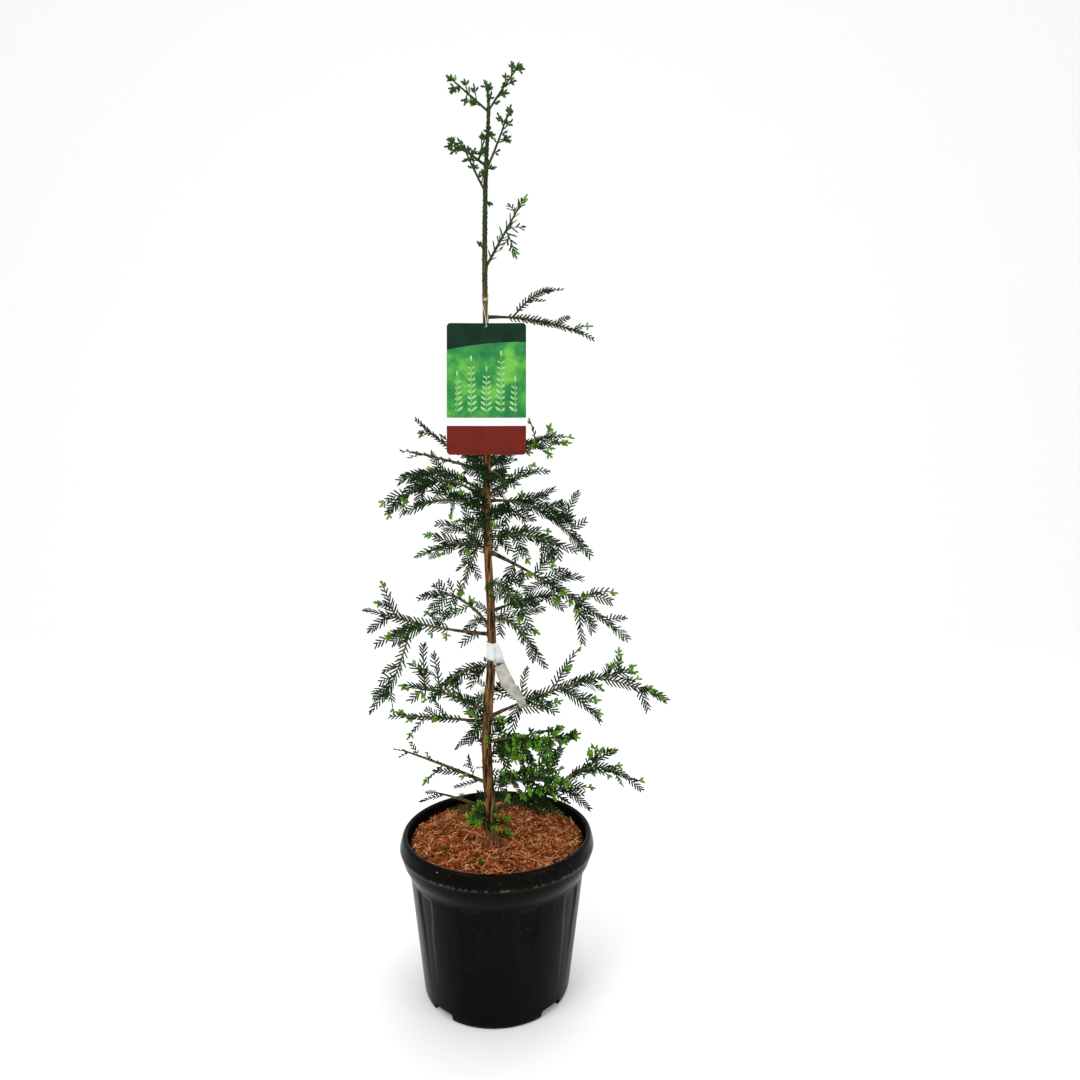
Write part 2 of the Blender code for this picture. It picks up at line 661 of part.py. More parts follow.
def make_stem(row, limb, group, trunk_cutter, material):
    """The stem of a mass: on past its bough's tip, or straight from the trunk."""
    first = row["bare"]
    if first:
        first += GAP / (limb.length * 0.9)
    shares = [first + (1 - first) * i / LIMB_STEPS for i in range(LIMB_STEPS + 1)]
    radii = [limb_radius(row, share) for share in shares]
    stem = tube(f"foliage_{row['name']}", [limb.at(s) for s in shares], radii, group, material, 0)
    if not row["bare"]:
        apply_boolean(stem, "DIFFERENCE", trunk_cutter)
    return stem


# ---------------------------------------------------------------- sprays

def spray_outline(length, half_width, root_half, grow=0.0):
    """A blade with forward-pointing teeth on both sides, from its root at x = 0."""
    teeth = min(MOST_TEETH, max(1, round(length / TOOTH_PITCH)))
    upper = []
    for index in range(teeth):
        foot = length * index / (teeth + TOOTH_FOOT) if index else -grow
        share = (index + TOOTH_MIDDLE) / teeth
        swell = TOOTH_LEAST + TOOTH_SWELL * math.sin(math.pi * share)
        width = half_width * swell * (1 - TOOTH_FALL * share)
        forward = max(foot, FIRST_TOOTH) + width * TOOTH_SWEEP
        upper.append((foot, root_half + grow))
        upper.append((min(forward, length * TOOTH_END), root_half + width + grow))
    tip = [(length + grow, 0.0)]
    lower = [(x, -y) for x, y in reversed(upper)]
    return upper + tip + lower


def spray_place(root, direction, flat_normal):
    along = direction.normalized()
    normal = (flat_normal - along * flat_normal.dot(along)).normalized()
    turn = Matrix((along, normal.cross(along), normal)).transposed().to_4x4()
    return Matrix.Translation(root) @ turn


def outline_tree(outline, thickness, place):
    """A search tree of an outline's solid, to test what a spray would touch."""
    form = bmesh.new()
    face = form.faces.new([form.verts.new((x, y, -thickness / 2)) for x, y in outline])
    lifted = bmesh.ops.extrude_face_region(form, geom=[face])
    moved = [v for v in lifted["geom"] if isinstance(v, bmesh.types.BMVert)]
    bmesh.ops.translate(form, verts=moved, vec=(0, 0, thickness))
    bmesh.ops.triangulate(form, faces=form.faces)
    form.transform(place)
    tree = BVHTree.FromBMesh(form)
    lowest = min(vert.co.z for vert in form.verts)
    form.free()
    return tree, lowest


def tree_of(item):
    form = bmesh.new()
    form.from_mesh(item.data)
    form.transform(item.matrix_world)
    bmesh.ops.triangulate(form, faces=form.faces)
    tree = BVHTree.FromBMesh(form)
    form.free()
    return tree


def spray_sites(limb, first, count, length, droop, chance):
    """Roots, directions and lengths of the sprays on a stem: alternate sides, shorter outwards,
    and one that carries on from the tip. Every site takes the same random draws."""
    sites = []
    side = 1 if chance.random() < 0.5 else -1
    for index in range(count):
        stray = chance.uniform(-SITE_STRAY, SITE_STRAY)
        share = first + (1 - first) * (index + SITE_MIDDLE + stray) / count
        spread = math.radians(chance.uniform(*SPREAD))
        tilt = math.tan(math.radians(droop + chance.uniform(-DROOP_STRAY, DROOP_STRAY)))
        size = length * (LENGTH_AT_ROOT - LENGTH_FALL * share) * chance.uniform(*LENGTH_STRAY)
        along = limb.direction(share)
        across = rolled_side(limb, along, chance.uniform(-1, 1))
        way = along * math.cos(spread) + across * side * math.sin(spread) - UP * tilt
        sites.append((limb.at(share), way, along.cross(across), size))
        side = -side
    along = limb.direction(1)
    across = rolled_side(limb, along, chance.uniform(-1, 1))
    sites.append((limb.at(TIP_SITE), along, along.cross(across), length * TIP_LENGTH))
    return sites


def rolled_side(limb, along, roll):
    """The sideways direction of a spray: level on a level stem, and anywhere round a steep one."""
    level = Vector((-limb.out.y, limb.out.x, 0))
    side = (level - along * level.dot(along)).normalized()
    angle = math.radians(ROLL_LEVEL + (90 - ROLL_LEVEL) * abs(along.z)) * roll
    return Matrix.Rotation(angle, 3, along) @ side


def grow_mass(row, limb, stem, seed, group, spare, trees, material):
    """Fuse the arms and sprays of one mass to its stem, and skip what would touch another piece."""
    chance = random.Random(seed)
    collection = bpy.data.collections.new(f"grow_{row['name']}")
    spare.children.link(collection)
    narrow = min(1.0, row["spray"] / NARROW_SPRAY)
    half_width = SPRAY_HALF_WIDTH * (NARROW_LEAST + (1 - NARROW_LEAST) * narrow)
    first = row["bare"] + STEM_BARE
    sites = spray_sites(limb, first, row["sprays"], row["spray"], row["droop"], chance)
    kept_trees = []
    for number, (share, heading, rise, reach, lift, sprays) in enumerate(row["arms"]):
        start = row["bare"] + (1 - row["bare"]) * share
        arm = Limb(limb.at(start), heading, rise, reach, lift)
        points = arm.points(0, 1, LIMB_STEPS)
        base = limb_radius(row, start) * ARM_ROOT_SHARE
        radii = [base + (STEM_TIP_RADIUS - base) * i / LIMB_STEPS for i in range(LIMB_STEPS + 1)]
        solid = tube(f"arm_{row['name']}_{number}", points, radii, collection, material, 0)
        arm_tree = tree_of(solid)
        if any(tree.overlap(arm_tree) for tree in trees):
            bpy.data.objects.remove(solid, do_unlink=True)
            continue
        kept_trees.append(arm_tree)
        sites += spray_sites(arm, ARM_BARE, sprays, row["spray"] * ARM_SPRAY_SHARE, row["droop"],
                             chance)
    for number, (root, way, normal, size) in enumerate(sites):
        place = spray_place(root, way, normal)
        tested = spray_outline(size, half_width, SPRAY_ROOT_WIDTH, TWIG_CLEARANCE)
        tree, lowest = outline_tree(tested, SPRAY_THICKNESS + 2 * TWIG_CLEARANCE, place)
        if lowest < SOIL_TOP + SOIL_CLEARANCE or any(other.overlap(tree) for other in trees):
            continue
        outline = spray_outline(size, half_width, SPRAY_ROOT_WIDTH)
        name = f"spray_{row['name']}_{number}"
        blade = flat_plate(name, [outline], SPRAY_THICKNESS, collection, material)
        blade.matrix_world = place
        kept_trees.append(tree_of(blade))
    apply_boolean(stem, "UNION", collection)
    for item in list(collection.objects):
        bpy.data.objects.remove(item, do_unlink=True)
    bpy.data.collections.remove(collection)
    return kept_trees


# ---------------------------------------------------------------- the whole plant

def main():
    clear_scene()
    plant = new_collection("redwood_sapling")
    cutters = new_collection("cutters")
    plastic = finish("pot_plastic", (0.018, 0.018, 0.019), 0.42)
    mulch = finish("mulch", (0.23, 0.075, 0.035), 0.9)
    bark = finish("bark", (0.17, 0.105, 0.06), 0.85)
    needles = finish("needles", (0.045, 0.13, 0.03), 0.55)
    card = finish("card", (0.05, 0.28, 0.06), 0.4)
    thread = finish("thread", (0.6, 0.6, 0.58), 0.7)
    paper = finish("paper", (0.8, 0.8, 0.78), 0.6)

    pot = make_pot(plant, cutters, plastic)
    soil = make_soil(plant, mulch)
    trunk = course_tube("trunk", trunk_heights(), 0, plant, bark)
    trunk_cutter = course_tube("trunk_cutter", trunk_heights(), GAP, cutters, bark)
    hide_as_cutter(trunk_cutter)
    label = make_label(plant, card)
    cord = make_cord(plant, thread)
    band = make_band(plant, cutters, trunk_cutter, paper)
    apply_modifiers(pot)
    apply_modifiers(soil)

    limbs = {}
    boughs = []
    stems = {}
    for row in BRANCHES:
        axis, _ = trunk_values(row["height"])
        limb = Limb(axis, row["heading"], row["rise"], row["reach"], row["lift"])
        limbs[row["name"]] = limb
        if row["bare"]:
            boughs.append(make_bough(row, limb, plant, trunk_cutter, bark))
        stems[row["name"]] = make_stem(row, limb, plant, trunk_cutter, needles)

    bpy.context.view_layer.update()
    trees = [tree_of(item) for item in (pot, trunk, label, cord, band, *boughs)]
    stem_trees = {name: tree_of(stem) for name, stem in stems.items()}
    for seed, row in enumerate(BRANCHES, start=11):
        name = row["name"]
        others = [tree for other, tree in stem_trees.items() if other != name]
        trees += grow_mass(row, limbs[name], stems[name], seed, plant, cutters, trees + others,
                           needles)


main()
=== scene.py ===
import math
import random

import bmesh
import bpy
import numpy as np
from mathutils import Matrix, Vector, noise


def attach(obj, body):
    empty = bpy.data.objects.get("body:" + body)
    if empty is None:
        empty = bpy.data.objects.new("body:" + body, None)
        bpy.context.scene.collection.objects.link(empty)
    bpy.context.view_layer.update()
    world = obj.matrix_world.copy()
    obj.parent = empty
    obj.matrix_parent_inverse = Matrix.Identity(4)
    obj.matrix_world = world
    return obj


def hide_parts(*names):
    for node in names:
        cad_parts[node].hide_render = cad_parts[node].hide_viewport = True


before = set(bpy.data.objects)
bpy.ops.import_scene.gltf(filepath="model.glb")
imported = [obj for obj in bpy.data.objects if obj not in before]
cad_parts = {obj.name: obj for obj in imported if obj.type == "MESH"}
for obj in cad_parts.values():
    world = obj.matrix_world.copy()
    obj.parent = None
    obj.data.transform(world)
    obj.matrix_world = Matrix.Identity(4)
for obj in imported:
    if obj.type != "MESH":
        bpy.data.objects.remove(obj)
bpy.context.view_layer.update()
up = Vector((0, 0, 1))
weld = 0.00001
print("frame loaded:", len(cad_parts), "nodes")


# camera, floor and light

view = dict(place=(0.0682, -1.197, 0.784), lens=24.87, shift=-0.0463)
studio = dict(floorWidth=9.0, floorBack=4.0, wallHeight=5.0, sweep=1.2, skyStrength=0.95)
# place, aim, size and power
lights = dict(keyLight=((-1.6, -1.8, 2.6), (0, 0, 0.7), (1.6, 1.6), 34),
              fillLight=((2.0, -1.5, 1.6), (0, 0, 0.6), (1.4, 1.8), 14),
              topLight=((0.2, 0.9, 3.0), (0, 0, 0.6), (1.8, 1.2), 16))


def makeCamera():
    data = bpy.data.cameras.new("camera")
    data.lens = view["lens"]
    data.sensor_width = 36
    data.shift_y = view["shift"]
    data.clip_start = 0.05
    camera = bpy.data.objects.new("camera", data)
    camera.location = view["place"]
    camera.rotation_euler = (math.pi / 2, 0, 0)
    bpy.context.scene.collection.objects.link(camera)
    bpy.context.scene.camera = camera


def areaLight(name, place, aim, size, power):
    data = bpy.data.lights.new(name, "AREA")
    data.shape = "RECTANGLE"
    data.size, data.size_y = size
    data.energy = power
    lamp = bpy.data.objects.new(name, data)
    lamp.location = place
    lamp.rotation_euler = (Vector(aim) - Vector(place)).to_track_quat("-Z", "Y").to_euler()
    bpy.context.scene.collection.objects.link(lamp)


def makeStage():
    form = bmesh.new()
    bmesh.ops.create_grid(form, x_segments=1, y_segments=1, size=0.5)
    bmesh.ops.scale(form, verts=form.verts, vec=(studio["floorWidth"], studio["floorBack"] + 4, 1))
    bmesh.ops.translate(form, verts=form.verts, vec=(0, studio["floorBack"] / 2 - 2, 0))
    backEdge = max(form.edges, key=lambda edge: sum(v.co.y for v in edge.verts))
    lifted = bmesh.ops.extrude_edge_only(form, edges=[backEdge])
    bmesh.ops.translate(form, verts=newVerts(lifted), vec=(0, 0, studio["wallHeight"]))
    rounded(form, [backEdge], studio["sweep"], 16)
    bmesh.ops.recalc_face_normals(form, faces=form.faces)
    finish, tree, shader = newFinish("paleFloor", 0.85)
    grain = pattern(tree, 40.0)
    ramp(tree, grain, [(0.3, (0.95, 0.95, 0.95)), (0.7, (0.96, 0.96, 0.96))], shader)
    floor = addPiece("paleFloor", form, [finish], ride=False)


def lightStage():
    world = bpy.data.worlds.new("softSky")
    world.use_nodes = True
    sky = world.node_tree.nodes["Background"]
    sky.inputs["Color"].default_value = (1, 1, 1, 1)
    sky.inputs["Strength"].default_value = studio["skyStrength"]
    bpy.context.scene.world = world
    bpy.context.scene.view_settings.view_transform = "Standard"
    for name, values in lights.items():
        areaLight(name, *values)


# small helpers for meshes and finishes

def addPiece(name, form, finishes, ride=True, smooth=None):
    mesh = bpy.data.meshes.new(name)
    form.to_mesh(mesh)
    form.free()
    return addMesh(name, mesh, finishes, ride, smooth)


def addMesh(name, mesh, finishes, ride=True, smooth=None):
    piece = bpy.data.objects.new(name, mesh)
    bpy.context.scene.collection.objects.link(piece)
    if mesh.materials:
        mesh.materials.clear()
    for finish in finishes:
        mesh.materials.append(finish)
    if smooth is not None:
        mesh.polygons.foreach_set("use_smooth", [True] * len(mesh.polygons))
        mesh.set_sharp_from_angle(angle=math.radians(smooth))
    if ride:
        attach(piece, "root")
    return piece


def newFinish(name, roughness, shine=0.5):
    finish = bpy.data.materials.new(name)
    finish.use_nodes = True
    shader = finish.node_tree.nodes["Principled BSDF"]
    shader.inputs["Roughness"].default_value = roughness
    shader.inputs["Specular IOR Level"].default_value = shine
    return finish, finish.node_tree, shader


def pattern(tree, scale, stretch=(1, 1, 1), move=(0, 0, 0), **inputs):
    # noise on Object coordinates
    coords = tree.nodes.new("ShaderNodeTexCoord")
    mapping = tree.nodes.new("ShaderNodeMapping")
    mapping.inputs["Scale"].default_value = stretch
    mapping.inputs["Location"].default_value = move
    texture = tree.nodes.new("ShaderNodeTexNoise")
    texture.inputs["Scale"].default_value = scale
    for socket, value in inputs.items():
        texture.inputs[socket].default_value = value
    tree.links.new(coords.outputs["Object"], mapping.inputs["Vector"])
    tree.links.new(mapping.outputs["Vector"], texture.inputs["Vector"])
    return texture.outputs["Fac"]


def ramp(tree, source, stops, shader=None, socket="Base Color"):
    # a colour or value ramp over a pattern, linked to the shader if there is one
    node = tree.nodes.new("ShaderNodeValToRGB")
    keys = node.color_ramp.elements
    while len(keys) < len(stops):
        keys.new(0.5)
    for key, (place, colour) in zip(keys, stops):
        key.position = place
        key.color = (*colour, 1) if isinstance(colour, tuple) else (colour, colour, colour, 1)
    tree.links.new(source, node.inputs["Fac"])
    if shader:
        tree.links.new(node.outputs["Color"], shader.inputs[socket])
    return node.outputs["Color"]


def blendColours(tree, share, first, second):
    node = tree.nodes.new("ShaderNodeMix")
    node.data_type = "RGBA"
    tree.links.new(share, node.inputs["Factor"])
    tree.links.new(first, node.inputs["A"])
    tree.links.new(second, node.inputs["B"])
    return node.outputs["Result"]


def multiply(tree, first, second):
    node = tree.nodes.new("ShaderNodeMix")
    node.data_type = "RGBA"
    node.blend_type = "MULTIPLY"
    node.inputs["Factor"].default_value = 1.0
    tree.links.new(first, node.inputs["A"])
    tree.links.new(second, node.inputs["B"])
    return node.outputs["Result"]


def heightShare(tree, low, high):
    # 0 below low and 1 above high, in the piece's own Z
    coords = tree.nodes.new("ShaderNodeTexCoord")
    split = tree.nodes.new("ShaderNodeSeparateXYZ")
    share = tree.nodes.new("ShaderNodeMapRange")
    share.inputs["From Min"].default_value = low
    share.inputs["From Max"].default_value = high
    tree.links.new(coords.outputs["Object"], split.inputs["Vector"])
    tree.links.new(split.outputs["Z"], share.inputs["Value"])
    return share.outputs["Result"]


def relief(tree, shader, source, strength, distance):
    bump = tree.nodes.new("ShaderNodeBump")
    bump.inputs["Strength"].default_value = strength
    bump.inputs["Distance"].default_value = distance
    tree.links.new(source, bump.inputs["Height"])
    tree.links.new(bump.outputs["Normal"], shader.inputs["Normal"])


def mottled(name, colours, roughness, scale, grain, bump, shine):
    # a finish of two or three mixed tones, with a fine grain in its gloss and relief
    finish, tree, shader = newFinish(name, roughness, shine)
    tone = pattern(tree, scale, Detail=5.0, Roughness=0.6)
    stops = [(0.34 + 0.32 * i / (len(colours) - 1), colour) for i, colour in enumerate(colours)]
    ramp(tree, tone, stops, shader)
    fine = pattern(tree, grain, Detail=3.0)
    ramp(tree, fine, [(0.3, roughness - 0.08), (0.7, roughness + 0.08)], shader, "Roughness")
    relief(tree, shader, fine, bump, 0.0004)
    return finish


def bakedMesh(thing):
    # an object's mesh as its modifiers leave it
    return bpy.data.meshes.new_from_object(thing.evaluated_get(bpy.context.evaluated_depsgraph_get()))


def cutMesh(piece, name, form):
    # the piece's mesh less the form
    block = addPiece(name, form, [], ride=False)
    cut = piece.modifiers.new(name, "BOOLEAN")
    cut.object, cut.solver = block, "EXACT"
    mesh = bakedMesh(piece)
    piece.modifiers.clear()
    bpy.data.objects.remove(block, do_unlink=True)
    return mesh


def newVerts(lifted):
    return [v for v in lifted["geom"] if isinstance(v, bmesh.types.BMVert)]


def thicken(form, way):
    # a flat plate's faces carried along the way, into a solid
    lifted = bmesh.ops.extrude_face_region(form, geom=list(form.faces))
    bmesh.ops.translate(form, verts=newVerts(lifted), vec=way)
    bmesh.ops.recalc_face_normals(form, faces=form.faces)


def rounded(form, geom, offset, segments, affect="EDGES"):
    bmesh.ops.bevel(form, geom=geom, offset=offset, segments=segments, profile=0.5,
                    affect=affect, material=-1)


def quarterTurn(form, axis):
    bmesh.ops.rotate(form, verts=form.verts, matrix=Matrix.Rotation(math.pi / 2, 3, axis))


def curvePiece(name, paths, finishes, sides=1):
    # one mesh of round tapering tubes; each path is its points and their radii
    curve = bpy.data.curves.new(name, "CURVE")
    curve.dimensions = "3D"
    curve.bevel_depth = 1.0
    curve.bevel_resolution = sides
    curve.use_fill_caps = True
    for points, radii in paths:
        spline = curve.splines.new("POLY")
        spline.points.add(len(points) - 1)
        for knot, point, radius in zip(spline.points, points, radii):
            knot.co = (*point, 1.0)
            knot.radius = radius
    line = bpy.data.objects.new(name + "Line", curve)
    bpy.context.scene.collection.objects.link(line)
    mesh = bakedMesh(line)
    bpy.data.objects.remove(line, do_unlink=True)
    form = bmesh.new()
    form.from_mesh(mesh)
    bmesh.ops.remove_doubles(form, verts=form.verts, dist=weld)
    bmesh.ops.recalc_face_normals(form, faces=form.faces)
    bpy.data.meshes.remove(mesh)
    return addPiece(name, form, finishes, smooth=60)


def shapeOf(form):
    # a small shape's corners and faces as arrays, to be copied many times
    form.verts.index_update()
    shape = dict(corners=np.array([v.co for v in form.verts]),
                 loops=np.array([v.index for face in form.faces for v in face.verts]),
                 sizes=np.array([len(face.verts) for face in form.faces]),
                 slots=np.array([face.material_index for face in form.faces]))
    form.free()
    return shape


def joinCopies(name, groups, finishes):
    # one mesh of many copies: groups are (shape, placements)
    corners, loops, sizes, slots, start = [], [], [], [], 0
    for shape, places in groups:
        if not places:
            continue
        turn = np.array(places)
        count = len(shape["corners"])
        moved = np.einsum("mij,nj->mni", turn[:, :3, :3], shape["corners"]) + turn[:, None, :3, 3]
        firsts = start + np.arange(len(places)) * count
        corners.append(moved.reshape(-1, 3))
        loops.append((firsts[:, None] + shape["loops"][None]).ravel())
        sizes.append(np.tile(shape["sizes"], len(places)))
        slots.append(np.tile(shape["slots"], len(places)))
        start += len(places) * count
    corners, loops = np.concatenate(corners), np.concatenate(loops)
    sizes, slots = np.concatenate(sizes), np.concatenate(slots)
    mesh = bpy.data.meshes.new(name)
    mesh.vertices.add(len(corners))
    mesh.vertices.foreach_set("co", corners.ravel())
    mesh.loops.add(len(loops))
    mesh.loops.foreach_set("vertex_index", loops)
    mesh.polygons.add(len(sizes))
    mesh.polygons.foreach_set("loop_start", np.cumsum(sizes) - sizes)
    mesh.polygons.foreach_set("material_index", slots)
    mesh.update(calc_edges=True)
    mesh.validate()
    print(f"{name}: {int((sizes - 2).sum())} triangles")
    return addMesh(name, mesh, finishes)


def frameAt(place, along, normal, scale):
    # X runs along, Z nearest the normal; scale is length, width and thickness
    along = along.normalized()
    flat = (normal - along * normal.dot(along)).normalized()
    side = flat.cross(along)
    turn = Matrix((along * scale[0], side * scale[1], flat * scale[2])).transposed().to_4x4()
    turn.translation = place
    return [list(row) for row in turn]


def taperedRod(sections):
    # a four-sided rod along X: each section is its place and its size
    form = bmesh.new()
    bmesh.ops.create_circle(form, cap_ends=True, radius=0.5, segments=4)
    quarterTurn(form, "Y")
    face = next(iter(form.faces))
    last, size = sections[0]
    bmesh.ops.scale(form, verts=form.verts, vec=(1, size, size))
    for place, width in sections[1:]:
        lifted = bmesh.ops.extrude_face_region(form, geom=[face])
        face = next(g for g in lifted["geom"] if isinstance(g, bmesh.types.BMFace))
        moved = list(face.verts)
        bmesh.ops.translate(form, verts=moved, vec=(place - last, 0, 0))
        bmesh.ops.scale(form, verts=moved, vec=(1, width / size, width / size))
        last, size = place, width
    return form


def bladeShape(sections, forward, droop):
    # a flat keeled leaf, 1 long and 1 wide, that leans forward and droops to its tip
    form = taperedRod(sections)
    for vert in form.verts:
        vert.co.y += forward * vert.co.x ** 2
        vert.co.z -= droop * vert.co.x ** 2
    bmesh.ops.recalc_face_normals(form, faces=form.faces)
    form.normal_update()
    for face in form.faces:
        face.material_index = 1 if face.normal.z < -0.2 else 0
    return shapeOf(form)


# finishes

def barkFinish(name, browns, greenFrom, greenTo):
    # stringy bark below that turns to green young wood above
    finish, tree, shader = newFinish(name, 0.82, 0.1)
    strands = pattern(tree, 420, (1, 1, 0.07), Detail=8.0, Roughness=0.7)
    patches = pattern(tree, 38, (1, 1, 0.35), Detail=4.0)
    furrowShade = pattern(tree, 230, (1, 1, 0.11), (4, 2, 0), Detail=5.0, Roughness=0.65)
    brown = ramp(tree, strands, browns)
    grey = ramp(tree, strands, [(0.35, (0.03, 0.025, 0.018)), (0.65, (0.19, 0.15, 0.10))])
    patchShare = ramp(tree, patches, [(0.5, 0.0), (0.68, 0.8)])
    old = blendColours(tree, patchShare, brown, grey)
    # painted shade: the furrow pattern darkens the bark to near black, standing for the shade in its furrows
    depth = ramp(tree, furrowShade, [(0.42, 0.07), (0.50, 0.75), (0.62, 1.0)])
    old = multiply(tree, old, depth)
    green = ramp(tree, strands,
                 [(0.3, (0.010, 0.018, 0.006)), (0.55, (0.026, 0.042, 0.013)), (0.8, (0.070, 0.078, 0.030))])
    share = heightShare(tree, greenFrom, greenTo)
    tree.links.new(blendColours(tree, share, old, green), shader.inputs["Base Color"])
    ramp(tree, strands, [(0.3, 0.92), (0.7, 0.66)], shader, "Roughness")
    relief(tree, shader, strands, 0.6, 0.0008)
    return finish


def stemFinish():
    # olive wood on the low branches, dark green and finer at the top
    finish, tree, shader = newFinish("stemWood", 0.7, 0.1)
    strands = pattern(tree, 150, Detail=5.0, Roughness=0.6)
    olive = ramp(tree, strands,
                 [(0.34, (0.022, 0.020, 0.008)), (0.5, (0.070, 0.068, 0.026)), (0.66, (0.145, 0.14, 0.060))])
    green = ramp(tree, strands,
                 [(0.34, (0.008, 0.015, 0.005)), (0.5, (0.022, 0.034, 0.011)),
                  (0.66, (0.050, 0.062, 0.022))])
    share = heightShare(tree, 0.70, 0.95)
    tree.links.new(blendColours(tree, share, olive, green), shader.inputs["Base Color"])
    grain = pattern(tree, 900, Detail=3.0)
    ramp(tree, grain, [(0.3, 0.62), (0.7, 0.78)], shader, "Roughness")
    relief(tree, shader, grain, 0.4, 0.0004)
    return finish


def potFinish():
    # satin black plastic with moulding grain, a pale painted highlight in patches along the rim's widest
    # edge, and soil dust that clings in patches
    finish, tree, shader = newFinish("potPlastic", 0.36, 0.04)
    cloud = pattern(tree, 9, (1, 1, 0.5), Detail=6.0, Roughness=0.65)
    black = ramp(tree, cloud, [(0.3, (0.0008, 0.0008, 0.0006)), (0.7, (0.0026, 0.0026, 0.0017))])
    specks = pattern(tree, 260, Detail=6.0, Roughness=0.75)
    dustShare = ramp(tree, specks, [(0.56, 0.0), (0.74, 0.5)])
    dustWhere = ramp(tree, pattern(tree, 5, move=(3, 1, 2), Detail=3.0), [(0.5, 0.05), (0.72, 0.9)])
    dust = ramp(tree, specks, [(0.4, (0.09, 0.045, 0.022)), (0.8, (0.2, 0.13, 0.09))])
    share = multiply(tree, dustShare, dustWhere)
    dusty = blendColours(tree, share, black, dust)
    # a pale painted highlight along the rim's widest edge, broken into patches by noise
    lip = multiply(tree, heightShare(tree, 0.2196, 0.2212), heightShare(tree, 0.2240, 0.2226))
    highlightPatches = ramp(tree, pattern(tree, 120, (1, 1, 0.3), Detail=6.0), [(0.46, 0.0), (0.66, 0.55)])
    highlightShare = multiply(tree, lip, highlightPatches)
    pale = ramp(tree, specks, [(0.3, (0.07, 0.065, 0.055)), (0.8, (0.20, 0.18, 0.15))])
    tree.links.new(blendColours(tree, highlightShare, dusty, pale), shader.inputs["Base Color"])
    gloss = pattern(tree, 22, (1, 1, 0.25), Detail=5.0)
    ramp(tree, gloss, [(0.3, 0.20), (0.7, 0.34)], shader, "Roughness")
    grain = pattern(tree, 700, Detail=2.0)
    relief(tree, shader, grain, 0.12, 0.0003)
    return finish


# name: tones, roughness, pattern scale, grain scale, relief, shine
tones = dict(
    # the mulch bed's very dark browns are painted shade for the gaps between the shreds
    mulchGapShade=([(0.020, 0.005, 0.002), (0.050, 0.013, 0.005), (0.10, 0.026, 0.009)], 0.9, 90, 500, 0.8, 0.05),
    shredDark=([(0.055, 0.012, 0.004), (0.12, 0.028, 0.008), (0.20, 0.050, 0.015)], 0.85, 120, 800, 0.5, 0.1),
    shredRed=([(0.28, 0.058, 0.011), (0.47, 0.110, 0.024), (0.65, 0.180, 0.042)], 0.82, 120, 800, 0.5, 0.1),
    shredTan=([(0.58, 0.23, 0.085), (0.74, 0.35, 0.145), (0.88, 0.54, 0.28)], 0.8, 120, 800, 0.5, 0.12),
    greenTwig=([(0.012, 0.020, 0.006), (0.028, 0.048, 0.011)], 0.6, 150, 900, 0.3, 0.1),
    needleDark=([(0.0009, 0.0078, 0.0009), (0.0028, 0.0230, 0.0025)], 0.5, 90, 900, 0.2, 0.07),
    needleMid=([(0.005, 0.026, 0.003), (0.013, 0.060, 0.007)], 0.5, 90, 900, 0.2, 0.09),
    needleSoft=([(0.022, 0.070, 0.008), (0.045, 0.12, 0.014)], 0.5, 90, 900, 0.2, 0.1),
    needleUnder=([(0.004, 0.016, 0.004), (0.013, 0.040, 0.010)], 0.6, 120, 900, 0.2, 0.1),
    knobFresh=([(0.075, 0.21, 0.010), (0.16, 0.36, 0.022)], 0.5, 70, 900, 0.2, 0.12),
    knobDark=([(0.006, 0.014, 0.004), (0.018, 0.032, 0.009)], 0.6, 70, 900, 0.2, 0.1),
    knobGreen=([(0.020, 0.055, 0.009), (0.048, 0.105, 0.017)], 0.5, 70, 900, 0.2, 0.1),
    labelHeader=([(0.003, 0.018, 0.009), (0.007, 0.028, 0.016)], 0.28, 40, 1500, 0.05, 0.1),
    labelField=([(0.010, 0.13, 0.050), (0.030, 0.23, 0.045), (0.13, 0.42, 0.06)], 0.28, 26, 1500, 0.05, 0.15),
    labelStrip=([(0.74, 0.74, 0.73), (0.80, 0.80, 0.79)], 0.3, 40, 1500, 0.05, 0.2),
    labelFoot=([(0.115, 0.010, 0.005), (0.145, 0.014, 0.007)], 0.28, 40, 1500, 0.05, 0.12),
    labelBack=([(0.70, 0.70, 0.68), (0.78, 0.78, 0.76)], 0.5, 40, 1500, 0.1, 0.2),
    sprigInk=([(0.22, 0.52, 0.16), (0.36, 0.68, 0.26)], 0.3, 60, 1500, 0.05, 0.5),
    cotton=([(0.50, 0.50, 0.47), (0.68, 0.68, 0.65)], 0.8, 400, 2500, 0.5, 0.5))
barkTones = [(0.32, (0.022, 0.010, 0.005)), (0.44, (0.125, 0.054, 0.017)),
             (0.56, (0.31, 0.148, 0.046)), (0.70, (0.52, 0.33, 0.15))]
boughTones = [(0.3, (0.020, 0.014, 0.008)), (0.5, (0.090, 0.066, 0.030)), (0.75, (0.22, 0.17, 0.085))]
finishes = {name: mottled(name, *values) for name, values in tones.items()}
finishes.update(pot=potFinish(), bark=barkFinish("bark", barkTones, 0.98, 1.20),
                bough=barkFinish("boughBark", boughTones, 0.95, 1.1), stem=stemFinish())
print("finishes made")


# pot

pot = dict(
    steps=240, flutes=10, fluteStart=-13.5, fluteTop=0.183, fluteFoot=0.033, fluteWidth=0.032,
    fluteNarrow=0.55, fluteDepth=0.0023, fluteSoft=0.0016, fluteEase=0.004, wallRows=44, notches=4,
    notchStart=48.0, notchWidth=0.040, notchHeight=0.011, notchDepth=0.034, notchRound=0.004, smooth=38,
    footRadius=0.114, wallTopRadius=0.137, wallTop=0.180, lipRadius=0.1425, wall=0.003, height=0.242,
    floor=0.014)


def wallRadius(height):
    return pot["footRadius"] + (pot["wallTopRadius"] - pot["footRadius"]) * height / pot["wallTop"]


